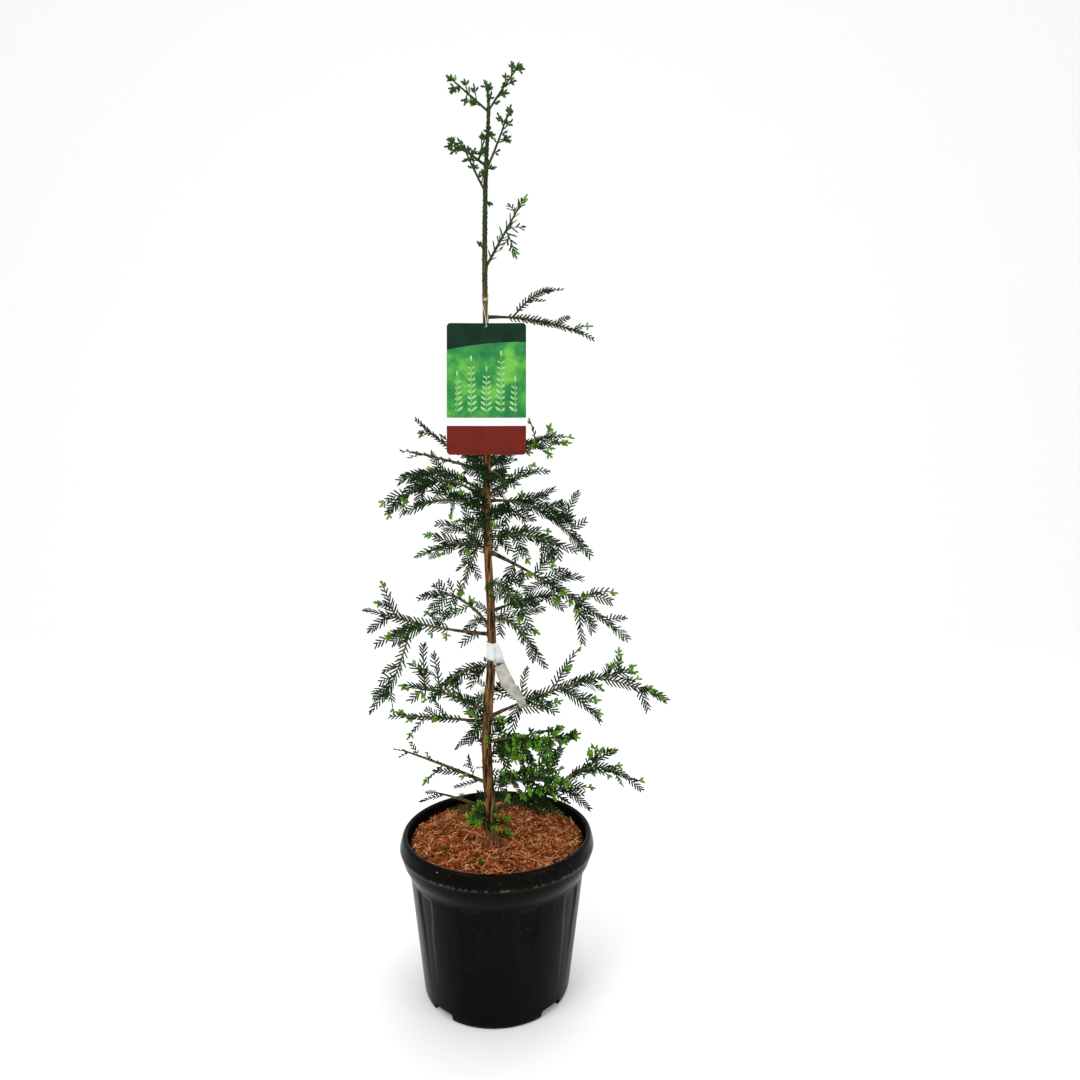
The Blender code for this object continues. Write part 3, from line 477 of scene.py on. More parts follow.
def insideRadius(height):
    if height < pot["wallTop"]:
        return wallRadius(height) - pot["wall"]
    below = pot["wallTopRadius"] - pot["wall"]
    return below + (pot["lipRadius"] - below) * (height - pot["wallTop"]) / (pot["height"] - pot["wallTop"])


def potProfile():
    # radius and height, from the middle of the floor inside, over the rim, to the middle underneath
    floor, top = pot["floor"], pot["height"]
    inside = [(0, floor), (insideRadius(floor) - 0.002, floor), (insideRadius(floor + 0.002), floor + 0.002)]
    inside += [(insideRadius(h), h) for h in (0.06, 0.12, 0.18, 0.21, 0.236)]
    rim = [(0.1424, top - 0.0020), (0.1432, top - 0.0007), (0.1446, top - 0.0001), (0.1462, top),
           (0.1478, top - 0.0004), (0.1490, top - 0.0016), (0.1501, top - 0.0044), (0.1520, top - 0.0105),
           (0.1534, top - 0.0165), (0.1539, top - 0.0195), (0.1536, top - 0.0215), (0.1527, top - 0.0226),
           (0.1518, top - 0.0234), (0.1512, top - 0.0262), (0.1500, top - 0.0318), (0.1466, top - 0.0408),
           (0.1424, top - 0.0476), (0.1398, top - 0.0520), (0.1380, top - 0.0566)]
    rows = pot["wallRows"]
    wall = [(wallRadius(h), h) for h in (0.1835 - (0.1835 - 0.006) * i / rows for i in range(rows + 1))]
    foot = [(pot["footRadius"], 0.0035), (pot["footRadius"] - 0.0008, 0.0014),
            (pot["footRadius"] - 0.0024, 0.0003), (pot["footRadius"] - 0.0040, 0.0), (0.06, 0.0), (0, 0)]
    return inside + rim + wall + foot


def fluteAt(angle, height):
    # how far the wall is pressed in; angle is counted from the front, in degrees
    if not pot["fluteFoot"] < height < pot["fluteTop"]:
        return 0.0
    pitch = 360 / pot["flutes"]
    off = (angle - pot["fluteStart"] + pitch / 2) % pitch - pitch / 2
    fall = (pot["fluteTop"] - height) / (pot["fluteTop"] - pot["fluteFoot"])
    half = pot["fluteWidth"] / 2 * (1 - (1 - pot["fluteNarrow"]) * fall)
    inset = half - abs(math.radians(off)) * wallRadius(height)
    soft = pot["fluteSoft"]
    sideShare = min(max(inset / soft + 0.5, 0), 1)
    topShare = min(max((pot["fluteTop"] - height) / pot["fluteEase"], 0), 1)
    ease = sideShare * sideShare * (3 - 2 * sideShare) * topShare
    return pot["fluteDepth"] * (1 - fall) ** 0.8 * ease


def makePot():
    form = bmesh.new()
    knots = [form.verts.new((radius, 0, height)) for radius, height in potProfile()]
    edges = [form.edges.new(pair) for pair in zip(knots, knots[1:])]
    bmesh.ops.spin(form, geom=knots + edges, cent=(0, 0, 0), axis=(0, 0, 1), dvec=(0, 0, 0),
                   angle=2 * math.pi, steps=pot["steps"], use_merge=True, use_duplicate=False)
    bmesh.ops.remove_doubles(form, verts=form.verts, dist=weld)
    bmesh.ops.recalc_face_normals(form, faces=form.faces)
    for vert in form.verts:
        out = Vector((vert.co.x, vert.co.y, 0))
        if out.length > wallRadius(vert.co.z) - 0.001 and 0.004 < vert.co.z < 0.19:
            angle = math.degrees(math.atan2(vert.co.x, -vert.co.y))
            vert.co -= out.normalized() * fluteAt(angle, vert.co.z)
    piece = addPiece("pot", form, [finishes["pot"]], smooth=pot["smooth"])
    cutter, depth = bmesh.new(), pot["notchDepth"]
    for index in range(pot["notches"]):
        angle = math.radians(pot["notchStart"] + index * 360 / pot["notches"])
        made = bmesh.ops.create_cube(cutter, size=1.0)["verts"]
        bmesh.ops.scale(cutter, verts=made, vec=(pot["notchWidth"], depth, 2 * pot["notchHeight"]))
        bmesh.ops.translate(cutter, verts=made, vec=(0, -pot["footRadius"] - 0.006, 0))
        bmesh.ops.rotate(cutter, verts=made, cent=(0, 0, 0), matrix=Matrix.Rotation(angle, 3, "Z"))
    sides = [e for e in cutter.edges if abs(e.verts[0].co.z - e.verts[1].co.z) < 0.001
             and e.verts[0].co.z > 0 and abs((e.verts[0].co - e.verts[1].co).length - depth) < 0.001]
    rounded(cutter, sides, pot["notchRound"], 4)
    bmesh.ops.recalc_face_normals(cutter, faces=cutter.faces)
    mesh = piece.data = cutMesh(piece, "notchCutter", cutter)
    mesh.set_sharp_from_angle(angle=math.radians(pot["smooth"]))
    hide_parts("pot")
    print("pot:", len(mesh.polygons), "faces")


# mulch

mulch = dict(
    top=0.2318, edgeTop=0.2275, foot=0.19, radius=0.1385, rings=22, lumps=34, lumpHeight=0.0022,
    shreds=7400, seed=71, kinds=dict(shredDark=0.31, shredRed=0.46, shredTan=0.23),
    length=(0.005, 0.0200), longShare=0.10, longer=1.5, shorter=0.9,
    width=(0.0008, 0.0019), wideShare=0.3, wider=1.7, flatness=(0.35, 0.6),
    tilt=0.26, lift=(-0.0006, 0.0016),
    crumbs=46, crumbSpan=(-47, -20, -38), crumbReach=0.1506, crumbHeight=0.2335, crumbSize=(0.0012, 0.0036),
    scraps=((0.090, 0.074), (-0.079, -0.050), (-0.020, -0.095)))


def mulchHeight(x, y):
    # the bed's lumpy surface, a little lower along the wall
    far = math.hypot(x, y) / mulch["radius"]
    level = mulch["top"] - (mulch["top"] - mulch["edgeTop"]) * far ** 6
    lumps = noise.noise(Vector((x * mulch["lumps"], y * mulch["lumps"], 2.0))) * mulch["lumpHeight"]
    return level + lumps - 0.0016


def shredShape(bend, twist):
    # a split sliver with blunt, broken ends
    form = taperedRod([(0, 0.35), (0.15, 0.9), (0.55, 1.0), (0.85, 0.8), (1.0, 0.3)])
    for vert in form.verts:
        x = vert.co.x
        vert.co = Matrix.Rotation(twist * x, 3, "X") @ vert.co
        vert.co += Vector((-0.5, bend * 4 * x * (1 - x), bend * 2 * x * (1 - x)))
    bmesh.ops.recalc_face_normals(form, faces=form.faces)
    return shapeOf(form)


def makeMulch():
    form = bmesh.new()
    bmesh.ops.create_circle(form, cap_ends=True, radius=mulch["radius"] * 0.995, segments=96)
    for _ in range(mulch["rings"]):
        face = max(form.faces, key=lambda f: len(f.verts))
        bmesh.ops.inset_region(form, faces=[face], thickness=mulch["radius"] / (mulch["rings"] + 1))
    for vert in form.verts:
        vert.co.z = mulchHeight(vert.co.x, vert.co.y) - 0.001
    outer = [edge for edge in form.edges if edge.is_boundary]
    lifted = bmesh.ops.extrude_edge_only(form, edges=outer)
    for vert in newVerts(lifted):
        vert.co.z = mulch["foot"]
        vert.co.xy = vert.co.xy.normalized() * (insideRadius(mulch["foot"]) - 0.0008)
    bmesh.ops.contextual_create(form, geom=[edge for edge in form.edges if edge.is_boundary])
    bmesh.ops.recalc_face_normals(form, faces=form.faces)
    # painted shade: the bed under the shreds is very dark brown, standing for the shade in the gaps between
    # them
    bed = addPiece("mulchBed", form, [finishes["mulchGapShade"]], smooth=60)
    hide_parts("bark_mulch")
    shapes = [shredShape(0.05, 0.6), shredShape(-0.12, -0.9), shredShape(0.2, 0.3)]
    kinds, chance = mulch["kinds"], random.Random(mulch["seed"])
    stores = {kind: [[] for _ in shapes] for kind in kinds}
    for _ in range(mulch["shreds"]):
        reach = (mulch["radius"] - 0.004) * math.sqrt(chance.random())
        angle = chance.uniform(0, 2 * math.pi)
        x, y = reach * math.cos(angle), reach * math.sin(angle)
        kind = chance.choices(list(kinds), list(kinds.values()))[0]
        length = chance.uniform(*mulch["length"])
        length *= mulch["longer"] if chance.random() < mulch["longShare"] else mulch["shorter"]
        width = chance.uniform(*mulch["width"])
        if kind == "shredTan" and chance.random() < mulch["wideShare"]:
            width *= mulch["wider"]
        heading, tilt = chance.uniform(0, 2 * math.pi), chance.gauss(0, mulch["tilt"])
        along = Vector((math.cos(heading), math.sin(heading), math.tan(tilt)))
        ends = [math.hypot(x + along.x * half, y + along.y * half) for half in (length / 2, -length / 2)]
        if max(ends) > mulch["radius"] - 0.002:
            continue
        lift = chance.uniform(*mulch["lift"]) + abs(math.sin(tilt)) * length * 0.3
        place = Vector((x, y, mulchHeight(x, y) + lift))
        normal = Vector((chance.gauss(0, 0.3), chance.gauss(0, 0.3), 1))
        placed = frameAt(place, along, normal, (length, width, width * chance.uniform(*mulch["flatness"])))
        stores[kind][chance.randrange(len(shapes))].append(placed)
    for _ in range(mulch["crumbs"]):
        # crumbs of bark that lie on the rim
        angle = math.radians(chance.triangular(*mulch["crumbSpan"]))
        out = Vector((math.sin(angle), -math.cos(angle), 0))
        place = out * mulch["crumbReach"] + up * (mulch["crumbHeight"] + chance.gauss(0, 0.0009))
        along = up.cross(out) + up * chance.gauss(0, 0.5)
        size = chance.uniform(*mulch["crumbSize"])
        placed = frameAt(place, along, out, (size, size * 0.45, 0.0006))
        stores[chance.choice(("shredRed", "shredTan"))][0].append(placed)
    for kind, groups in stores.items():
        piece = joinCopies(kind + "s", list(zip(shapes, groups)), [finishes[kind]])
        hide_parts("bark_mulch")


# trunk and limbs: the same course and the same branching rule as the solids have

trunk = dict(
    course=[(0.2323, -0.0062, -0.0300, 0.0125), (0.2450, -0.0065, -0.0298, 0.0092),
            (0.2900, -0.0100, -0.0285, 0.0085), (0.3900, -0.0158, -0.0262, 0.0078),
            (0.5300, -0.0078, -0.0225, 0.0070), (0.7200, -0.0155, -0.0172, 0.0060),
            (0.9300, -0.0160, -0.0122, 0.0052), (1.1400, -0.0198, -0.0082, 0.0042),
            (1.2800, -0.0186, -0.0062, 0.0035), (1.3850, -0.0140, -0.0052, 0.0028),
            (1.4130, -0.0142, -0.0048, 0.0017)],
    rowStep=0.0022, ribDepth=0.0016, topRibDepth=0.0004, collarHeight=0.006, collarDepth=0.0012,
    collarRadius=0.003)

limbs = dict(rootRadius=0.0015, rootGain=0.008, rootMost=0.6, boughTipRadius=0.0018, stemTipRadius=0.0011,
             armShare=0.92, rollLevel=50.0, firstSeed=11, fineSeed=700, barkShare=1.22)


def trunkAt(height):
    # the axis and the radius at a height
    rows = trunk["course"]
    height = min(max(height, rows[0][0]), rows[-1][0])
    index = max(i for i in range(len(rows) - 1) if rows[i][0] <= height)
    low, high = rows[index], rows[index + 1]
    before, after = rows[max(index - 1, 0)], rows[min(index + 2, len(rows) - 1)]
    span = high[0] - low[0]
    share = (height - low[0]) / span
    values = []
    for column in (1, 2, 3):
        slopeLow = (high[column] - before[column]) / (high[0] - before[0]) * span
        slopeHigh = (after[column] - low[column]) / (after[0] - low[0]) * span
        if column == 3:
            slopeLow = slopeHigh = high[column] - low[column]
        s2, s3 = share * share, share ** 3
        values.append((2 * s3 - 3 * s2 + 1) * low[column] + (s3 - 2 * s2 + share) * slopeLow
                      + (3 * s2 - 2 * s3) * high[column] + (s3 - s2) * slopeHigh)
    return Vector((values[0], values[1], height)), values[2]


def branch(name, height, heading, rise, reach, lift, bare=0.0, sprays=4, spray=55, droop=8.0,
           arms=(), habit="comb", fresh=0.4):
    # heading and rise in degrees, reach, lift and spray in millimetres; arms are share, heading,
    # rise, reach, lift and sprays; fresh is the share of the tips that carry young growth
    return dict(name=name, height=height, heading=heading, rise=rise, reach=reach, lift=lift,
                bare=bare, sprays=sprays, spray=spray, droop=droop, arms=arms, habit=habit, fresh=fresh)


branches = [
    branch("leader", 1.408, 200, 80, 3, 15, 0, 2, 13, -45, habit="scale", fresh=0.3),
    branch("top_right", 1.390, 12, 60, 44, 70, 0, 4, 19, -10, habit="scale", fresh=0.5),
    branch("top_left", 1.388, 186, 40, 53, 44, 0, 4, 19, -10, habit="scale", fresh=0.6),
    branch("crown_left", 1.301, 172, 40, 48, 37, 0, 3, 22, -10, ((0.25, 50, 74, 18, 48, 2),), "scale", 0.5),
    branch("crown_right", 1.294, -14, 62, 36, 85, 0, 3, 20, -20, habit="scale", fresh=0.1),
    branch("crown_front", 1.260, 205, 57, 33, 58, 0, 3, 20, -20, habit="scale", fresh=0.1),
    branch("upper_right", 1.136, -8, 60, 57, 99, 0, 4, 28, 4, ((0.60, 10, -60, 10, -22, 1),), "thin", 0.2),
    branch("label_right", 1.059, 2, 3, 156, -25.5, 0.18, 4, 40, -4, ((0.12, 6, 54, 62, 46, 2),), fresh=0.35),
    branch("veiled_back", 1.000, 82, 34, 90, 50, 0, 3, 44),
    branch("veiled_left", 0.814, 186, 16, 118, 30, 0, 3, 38, 20, habit="thin", fresh=0.1),
    branch("brow_left", 0.828, 172, 10, 108, 62, 0, 3, 30, -6, fresh=0.5),
    branch("brow_right", 0.816, 6, 43, 108, 54, 0, 4, 46, -8, fresh=0.9),
    branch("brow_front", 0.806, 286, 14, 105, -6, 0, 3, 52),
    branch("brow_back", 0.828, 96, 28, 125, 40, 0, 3, 60),
    branch("ledge_left", 0.776, 162, 36, 124, 34, 0.20, 4, 50, fresh=0.3),
    branch("shelf_left", 0.765, 187, 44, 138, 2, 0.22, 4, 50, fresh=0.7),
    branch("ledge_right", 0.774, -30, 34, 90, 38, 0, 3, 36, fresh=0.3),
    branch("fan_right", 0.766, 8, 9, 150, -68, 0.16, 4, 56, 10,
           ((0.05, 20, 6, 88, -20, 2), (0.75, -8, 58, 14, 26, 1)), fresh=0.1),
    branch("step_left", 0.752, 206, 28, 104, 10, 0, 3, 50, fresh=0.6),
    branch("heart_front", 0.736, 262, 8, 100, -22, 0, 3, 50),
    branch("heart_back", 0.742, 74, 16, 145, 4, 0, 3, 62),
    branch("plume_right", 0.708, -14, 14, 118, -8, 0, 4, 52, fresh=0.5),
    branch("plume_left", 0.692, 178, 16, 88, -2, 0, 3, 44, 8,
           ((0.12, 168, 48, 55, 35, 1), (0.18, 208, -66, 20, -50, 1)), fresh=0.7),
    branch("long_right", 0.688, 3, -25, 206, -127, 0.30, 4, 54, 2,
           ((0.55, -8, -72, 6, -40, 1), (0.60, 12, 52, 26, 18, 1)), fresh=0.7),
    branch("waist_back", 0.566, 152, 46, 98, 48, 0, 4, 58, fresh=0.2),
    branch("waist_front", 0.640, 304, 4, 100, -36, 0, 3, 50),
    branch("hook_right", 0.583, -26, 12, 82, -50, 0, 3, 44),
    branch("long_left", 0.557, 181, 4, 174, 33, 0.34, 4, 50, 4,
           ((0.57, 188, -76, 46, -117, 2), (0.78, 174, 58, 14, 30, 1),
            (0.50, 196, -26, 42, -19, 1)), fresh=0.5),
    branch("lap_back", 0.592, 56, 8, 165, 6, 0.22, 4, 62),
    branch("lower_left", 0.436, 194, 31, 106, 46, 0, 4, 50, 8,
           ((0.70, 178, 80, 6, 36, 1), (0.93, 172, 84, 2, 46, 1)), fresh=0.5),
    branch("lap_front", 0.506, 208, 14, 78, -18, 0, 3, 46, fresh=0.3),
    branch("sweep_right", 0.426, 2, 26, 206, 68, 0.20, 4, 54, 8,
           ((0.04, -6, 66, 8, 30, 1), (0.37, 12, 60, 26, 43, 1),
            (0.45, -22, -20, 46, -28, 1), (0.80, -4, -8, 86, -22, 2)), fresh=0.8),
    branch("sweep_left", 0.420, 187, 8, 130, 14, 0.26, 4, 44, fresh=0.8),
    branch("skirt_back", 0.402, 96, 10, 165, 16, 0, 3, 64),
    branch("bush_front", 0.386, -52, 28, 105, 36, 0, 4, 48, -4, habit="bush", fresh=1),
    branch("bush_right", 0.368, 10, 18, 118, 22, 0, 4, 48, -8, habit="bush", fresh=1),
    branch("bush_low", 0.326, -26, 16, 108, 22, 0, 4, 50, -8, habit="bush", fresh=1),
    branch("reach_left", 0.324, 176, 22, 134, 48, 0, 3, 36, fresh=0.3),
    branch("reach_right", 0.298, 0, 2, 176, 68, 0.2, 4, 52, 8, ((0.57, -6, 40, 104, 6, 2),), fresh=0.7),
    branch("low_back_right", 0.282, 38, 2, 155, -4, 0, 3, 52, -4, fresh=0.2),
    branch("low_back_left", 0.282, 142, 4, 120, -2, 0, 3, 50, -4, fresh=0.2),
    branch("foot_shoot", 0.266, 232, 30, 38, 20, 0, 2, 22, -20, habit="bush", fresh=1),
]

# short sprigs straight from the trunk: from and to height, how many, length, habit, share with young tips
sprigs = [(0.243, 0.272, 5, 0.018, "bush", 1.0), (0.29, 0.46, 24, 0.030, "comb", 0.25),
          (0.47, 0.52, 3, 0.022, "comb", 0.1), (0.56, 0.60, 4, 0.026, "comb", 0.0),
          (0.68, 0.75, 24, 0.027, "comb", 0.04), (0.75, 0.835, 42, 0.028, "comb", 0.12),
          (0.86, 1.02, 5, 0.024, "comb", 0.0), (1.15, 1.42, 7, 0.008, "scale", 0.0)]

# branches with shorter needles, and by how much
shortLeaved = dict(label_right=0.72, veiled_left=0.62, upper_right=1.2, brow_left=0.75, brow_right=0.7,
                   waist_back=0.8, reach_left=0.62, reach_right=0.85, sweep_left=0.7, low_back_left=0.6)

# more twigs by branch: share, heading, rise, reach, lift, young growth (2 is a bushy shoot), and the
# number of the arm if it grows on one
shoots = dict(
    top_right=[(0.12, 10, 60, 20, 20, 1), (0.9, 20, 60, 6, 12, 0), (0.6, 0, 20, 10, 4, 0),
               (1, 30, 20, 8, 3, 0)],
    top_left=[(0.36, 190, 80, 3, 17, 0), (0.62, 200, -60, 4, -12, 0), (0.86, 186, -30, 8, -6, 0),
              (0.95, 186, 40, 10, 8, 0)],
    crown_left=[(0.6, 172, 20, 12, 6, 0), (0.74, 170, 60, 7, 12, 0), (0.85, 180, -20, 10, -5, 0),
                (0.95, 175, 30, 11, 8, 0), (1, 190, -20, 11, -3, 0)],
    crown_right=[(0.9, 0, 60, 6, 12, 0), (0.76, 340, 30, 11, 8, 0), (0.6, 0, 0, 11, 2, 0)],
    brow_left=[(0.92, 185, -20, 7, -7, 1), (0.5, 178, 62, 16, 20, 0)],
    brow_right=[(0.72, 190, 76, 8, 26, 1), (0.9, 5, 80, 3, 14, 1), (0.5, -8, 8, 72, 4, 1),
                (0.4, -20, 10, 60, 1, 1), (0.05, -25, 35, 42, 20, 0), (0.05, -35, 20, 46, 10, 0)],
    ledge_left=[(0.6, 175, 50, 22, 32, 0), (0.85, 182, -8, 44, -14, 0), (0.8, 190, -30, 36, -30, 0),
                (0.72, 190, 20, 6, 4, 1), (0.25, 200, 40, 12, 10, 1)],
    shelf_left=[(0.92, 184, 5, 34, -14, 1), (0.97, 190, -40, 18, -26, 1), (0.9, 200, -60, 4, -12, 1),
                (0.55, 172, -12, 40, -14, 0)],
    step_left=[(0.3, 172, 32, 60, 20, 0), (0.34, 180, 70, 6, 14, 1), (0.52, 170, 70, 6, 16, 1)],
    fan_right=[(0.88, 0, 40, 26, 18, 0), (0.4, 10, 30, 48, 24, 0), (0.2, 270, -62, 8, -44, 0),
               (0.34, 30, 70, 4, 12, 1), (0.55, -6, -12, 52, -22, 0)],
    heart_front=[(0.2, 190, 50, 24, 30, 0), (0.3, 350, 30, 30, 14, 0)],
    plume_left=[(0.1, 175, 60, 30, 64, 0), (0.46, 176, 16, 54, 14, 1), (1, 190, -40, 10, -6, 1)],
    plume_right=[(0.2, 14, 18, 74, 6, 1), (0.98, 270, -70, 5, -24, 0), (0.15, -50, -10, 30, -22, 0),
                 (0.5, 8, -6, 50, -10, 0)],
    long_right=[(0.2, 200, -60, 14, -44, 0), (0.27, 190, -70, 5, -22, 0), (0.36, 10, 45, 32, 38, 0),
                (0.42, 12, 20, 40, 12, 0), (0.48, 6, 28, 50, 8, 0), (0.46, 190, -10, 44, -24, 1),
                (0.58, 200, -60, 10, -14, 1), (0.63, 270, -50, 3, -8, 1), (0.7, 220, -60, 4, -13, 1),
                (0.7, 20, 60, 10, 10, 1)],
    lap_back=[(0.4, 20, -14, 46, -14, 0), (0.25, 5, 30, 20, 22, 0)],
    hook_right=[(0.3, 0, 24, 46, 12, 0), (0.15, 10, 40, 40, 20, 0)],
    waist_back=[(0.6, 120, 80, 5, 26, 0), (0.72, 150, 70, 12, 24, 0), (0.85, 165, 60, 16, 20, 0),
                (0.95, 175, 56, 16, 14, 0), (1, 180, 0, 36, -8, 0), (0.84, 190, -56, 26, -34, 0),
                (0.74, 176, -60, 12, -36, 0), (0.68, 250, -70, 4, -18, 1), (0.36, 150, 70, 4, 12, 1)],
    long_left=[(0.53, 250, -70, 3, -10, 1), (0.4, 250, -70, 3, -10, 1), (0.12, 190, -20, 26, -16, 0),
               (0.6, 190, -24, 50, -26, 0), (0.45, 180, 10, 20, -6, 0, 1), (0.6, 180, 10, 22, -8, 0, 1),
               (0.75, 185, 0, 24, -10, 0, 1), (0.9, 185, 0, 18, -10, 0, 1), (0.8, 10, -70, 7, -30, 1, 1)],
    lap_front=[(0.1, 215, -20, 30, -28, 0), (0.8, 190, -40, 16, -12, 1)],
    lower_left=[(0.95, 200, -40, 6, -8, 1), (0.08, 240, -10, 14, -8, 1), (0.16, 225, 0, 16, -4, 1),
                (1, 180, 0, 16, -2, 1)],
    sweep_left=[(0.48, 172, 50, 22, 28, 0), (0.82, 190, -10, 12, -4, 1), (0.94, 170, 20, 14, 4, 1),
                (0.05, 200, -40, 40, -34, 0)],
    sweep_right=[(0.28, 175, 40, 43, 22, 0), (0.22, -12, -10, 66, 8, 1), (0.24, 200, -50, 12, -44, 0),
                 (0.98, 10, 75, 5, 34, 1), (0.9, 0, 60, 12, 16, 1), (0.62, 4, 30, 30, 12, 0),
                 (1, 60, 60, 8, 18, 1), (1, 340, 30, 22, 12, 1), (0.5, 10, 30, 20, 6, 1, 4),
                 (0.8, 350, 10, 16, 0, 1, 4), (1, 0, -10, 14, -5, 1, 4), (1, 0, -20, 16, -6, 1, 3)],
    reach_left=[(0.1, 200, -10, 40, -6, 0), (0.3, 190, 10, 40, 6, 0), (0.16, 220, 30, 22, 8, 1)],
    low_back_left=[(0.2, 205, 0, 34, -6, 0)],
    bush_front=[(0.35, 350, -30, 20, -18, 1), (0.6, 340, -40, 20, -24, 1), (0.8, 0, -20, 30, -14, 1),
                (0.2, 330, 0, 36, -22, 1), (0.9, 10, 20, 50, 6, 1)],
    bush_right=[(0.3, 0, 30, 40, 6, 1), (0.55, 350, -10, 34, -12, 1), (0.35, 340, -50, 22, -40, 2),
                (0.5, 320, -60, 18, -44, 2), (0.65, 0, -50, 22, -42, 2), (0.8, 350, -60, 16, -34, 2),
                (0.2, 300, -40, 22, -36, 2), (0.8, 20, 40, 22, 14, 1), (0.4, 330, -10, 30, -22, 1),
                (0.95, 0, 0, 30, 4, 1)],
    bush_low=[(0.3, 350, 30, 36, 16, 1), (0.5, 300, 0, 30, -8, 1), (0.15, 300, -10, 34, -14, 2),
              (0.35, 320, -20, 28, -18, 2), (0.55, 350, -30, 26, -16, 2), (0.75, 340, 10, 24, 4, 2),
              (0.95, 10, 0, 20, -4, 2), (0.25, 20, 20, 30, 12, 1), (0.6, 10, 20, 40, 10, 1),
              (0.8, 330, 20, 32, 6, 1), (0.9, 30, 30, 26, 10, 1)],
    reach_right=[(0.6, -15, -30, 52, -34, 0), (0.2, -30, -10, 60, -12, 0), (0.35, -38, -10, 66, -16, 0),
                 (0.1, -20, 4, 60, -6, 0), (0.6, 5, -8, 52, -8, 1), (0.48, 20, 70, 30, 62, 0),
                 (0.9, 10, 60, 14, 20, 1), (0.97, 150, 70, 8, 16, 1), (1, 0, 60, 14, 10, 1),
                 (0.28, 0, 30, 50, 6, 0), (0.85, 0, 70, 8, 22, 1), (0.93, 170, 60, 6, 14, 1),
                 (1, 0, 0, 14, -2, 1, 1), (0.7, 0, 20, 12, 4, 1, 1), (0.3, 0, -20, 12, -6, 1, 1)],
    foot_shoot=[(0.1, 320, 40, 16, 10, 2), (0, 290, 10, 22, 0, 2), (0.6, 190, 10, 14, -4, 2),
                (0, 170, 50, 18, 24, 2)])


def outward(heading):
    return Vector((math.cos(math.radians(heading)), math.sin(math.radians(heading)), 0))


def makeLimb(root, heading, rise, reach, lift):
    # a curved stem from its root; reach and lift in millimetres
    out, reach, lift = outward(heading), reach / 1000, lift / 1000
    middle = root + (out + up * math.tan(math.radians(rise))) * reach / 2
    return dict(out=out, root=root, middle=middle, tip=root + out * reach + up * lift)


def limbAt(limb, share):
    rest = 1 - share
    return limb["root"] * rest ** 2 + limb["middle"] * 2 * rest * share + limb["tip"] * share ** 2


def limbDirection(limb, share):
    first, last = limb["middle"] - limb["root"], limb["tip"] - limb["middle"]
    return (first * (1 - share) + last * share).normalized()


def limbPoints(limb, steps, first=0.0, last=1.0):
    shares = [first + (last - first) * i / steps for i in range(steps + 1)]
    return shares, [limbAt(limb, share) for share in shares]


def limbLength(limb):
    return ((limb["middle"] - limb["root"]).length + (limb["tip"] - limb["middle"]).length) * 0.97


def rootRadius(row):
    own = limbs["rootRadius"] + limbs["rootGain"] * (row["reach"] / 1000)
    return min(own, trunkAt(row["height"])[1] * limbs["rootMost"])


def limbRadius(row, share):
    root, bare = rootRadius(row), row["bare"]
    if bare and share <= bare:
        return root + (limbs["boughTipRadius"] - root) * share / bare
    start = limbs["boughTipRadius"] if bare else root
    return start + (limbs["stemTipRadius"] - start) * (share - bare) / (1 - bare)


def rolledSide(limb, along, roll):
    # the sideways direction of a spray: level on a level stem, and anywhere round a steep one
    level = Vector((-limb["out"].y, limb["out"].x, 0))
    side = (level - along * level.dot(along)).normalized()
    angle = math.radians(limbs["rollLevel"] + (90 - limbs["rollLevel"]) * abs(along.z)) * roll
    return Matrix.Rotation(angle, 3, along) @ side


def spraySites(limb, first, count, length, droop, chance):
    # roots, directions and lengths of the sprays on a stem, and one that carries on its tip
    sites = []
    side = 1 if chance.random() < 0.5 else -1
    for index in range(count):
        share = first + (1 - first) * (index + 0.45 + chance.uniform(-0.12, 0.12)) / count
        spread = math.radians(chance.uniform(44, 62))
        tilt = math.tan(math.radians(droop + chance.uniform(-9, 9)))
        size = length * (1.12 - 0.45 * share) * chance.uniform(0.85, 1.12)
        along = limbDirection(limb, share)
        across = rolledSide(limb, along, chance.uniform(-1, 1))
        way = along * math.cos(spread) + across * side * math.sin(spread) - up * tilt
        sites.append((limbAt(limb, share), way, size))
        side = -side
    sites.append((limbAt(limb, 0.96), limbDirection(limb, 1), length * 0.62))
    chance.uniform(-1, 1)  # the rule draws a roll for the tip too
    return sites


# twigs and needles, grown on from the sprays' places

leaf = dict(length=0.0166, width=0.0026, thickness=0.0007, spacing=0.0050, angle=(50, 30), thin=1.7,
            bushSize=0.66, bushWidth=1.25, stemSize=0.92, stemSpacing=1.1, stemThin=2.4)
scaleLeaf = dict(length=0.0037, width=0.0027, thickness=0.0011, step=0.0009, turn=2.4, open=(46, 16),
                 neckStep=0.0012, neckOpen=(28, 14), neckSize=0.75, scaleNeckSize=0.85, shoot=0.006)
tuft = dict(first=(0.006, 0.008), rest=(0.0045, 0.0065), spread=(35, 75), back=0.0018,
            youngTip=0.35, youngSide=0.30, twigShare=0.5, bushShare=0.45, stemShare=0.3)
twig = dict(radius=0.0008, fineRadius=0.0006, taper=0.45, steps=5, sag=0.10, sideStep=0.030, endOnStep=0.020,
            sideChance=0.3, denseChance=0.85, bushStep=0.014, tuftStep=0.015, neckStep=0.0045,
            leastSize=0.011, forkFrom=0.040, forkChance=0.3, scaleChance=0.3)
# share of needles up to the dark shade and up to the middle one
shades = dict(bush=(0.30, 0.72), comb=(0.66, 0.96), thin=(0.66, 0.96))
zones = dict(low=0.45, middle=0.78, high=9.0)  # each zone and its top
stemLines, twigLines, boughLines = [], [], []
needleStore, knobStore = {}, {}


def zoneOf(height):
    return next(zone for zone, top in zones.items() if height < top)


def nearCard(point):
    # in the hang label, or in front of it
    clear = label["clear"]
    return (abs(point[0] - label["centre"]) < label["width"] / 2 + clear
            and point[2] > label["bottom"] + clear and point[1] < label["y"] + clear)


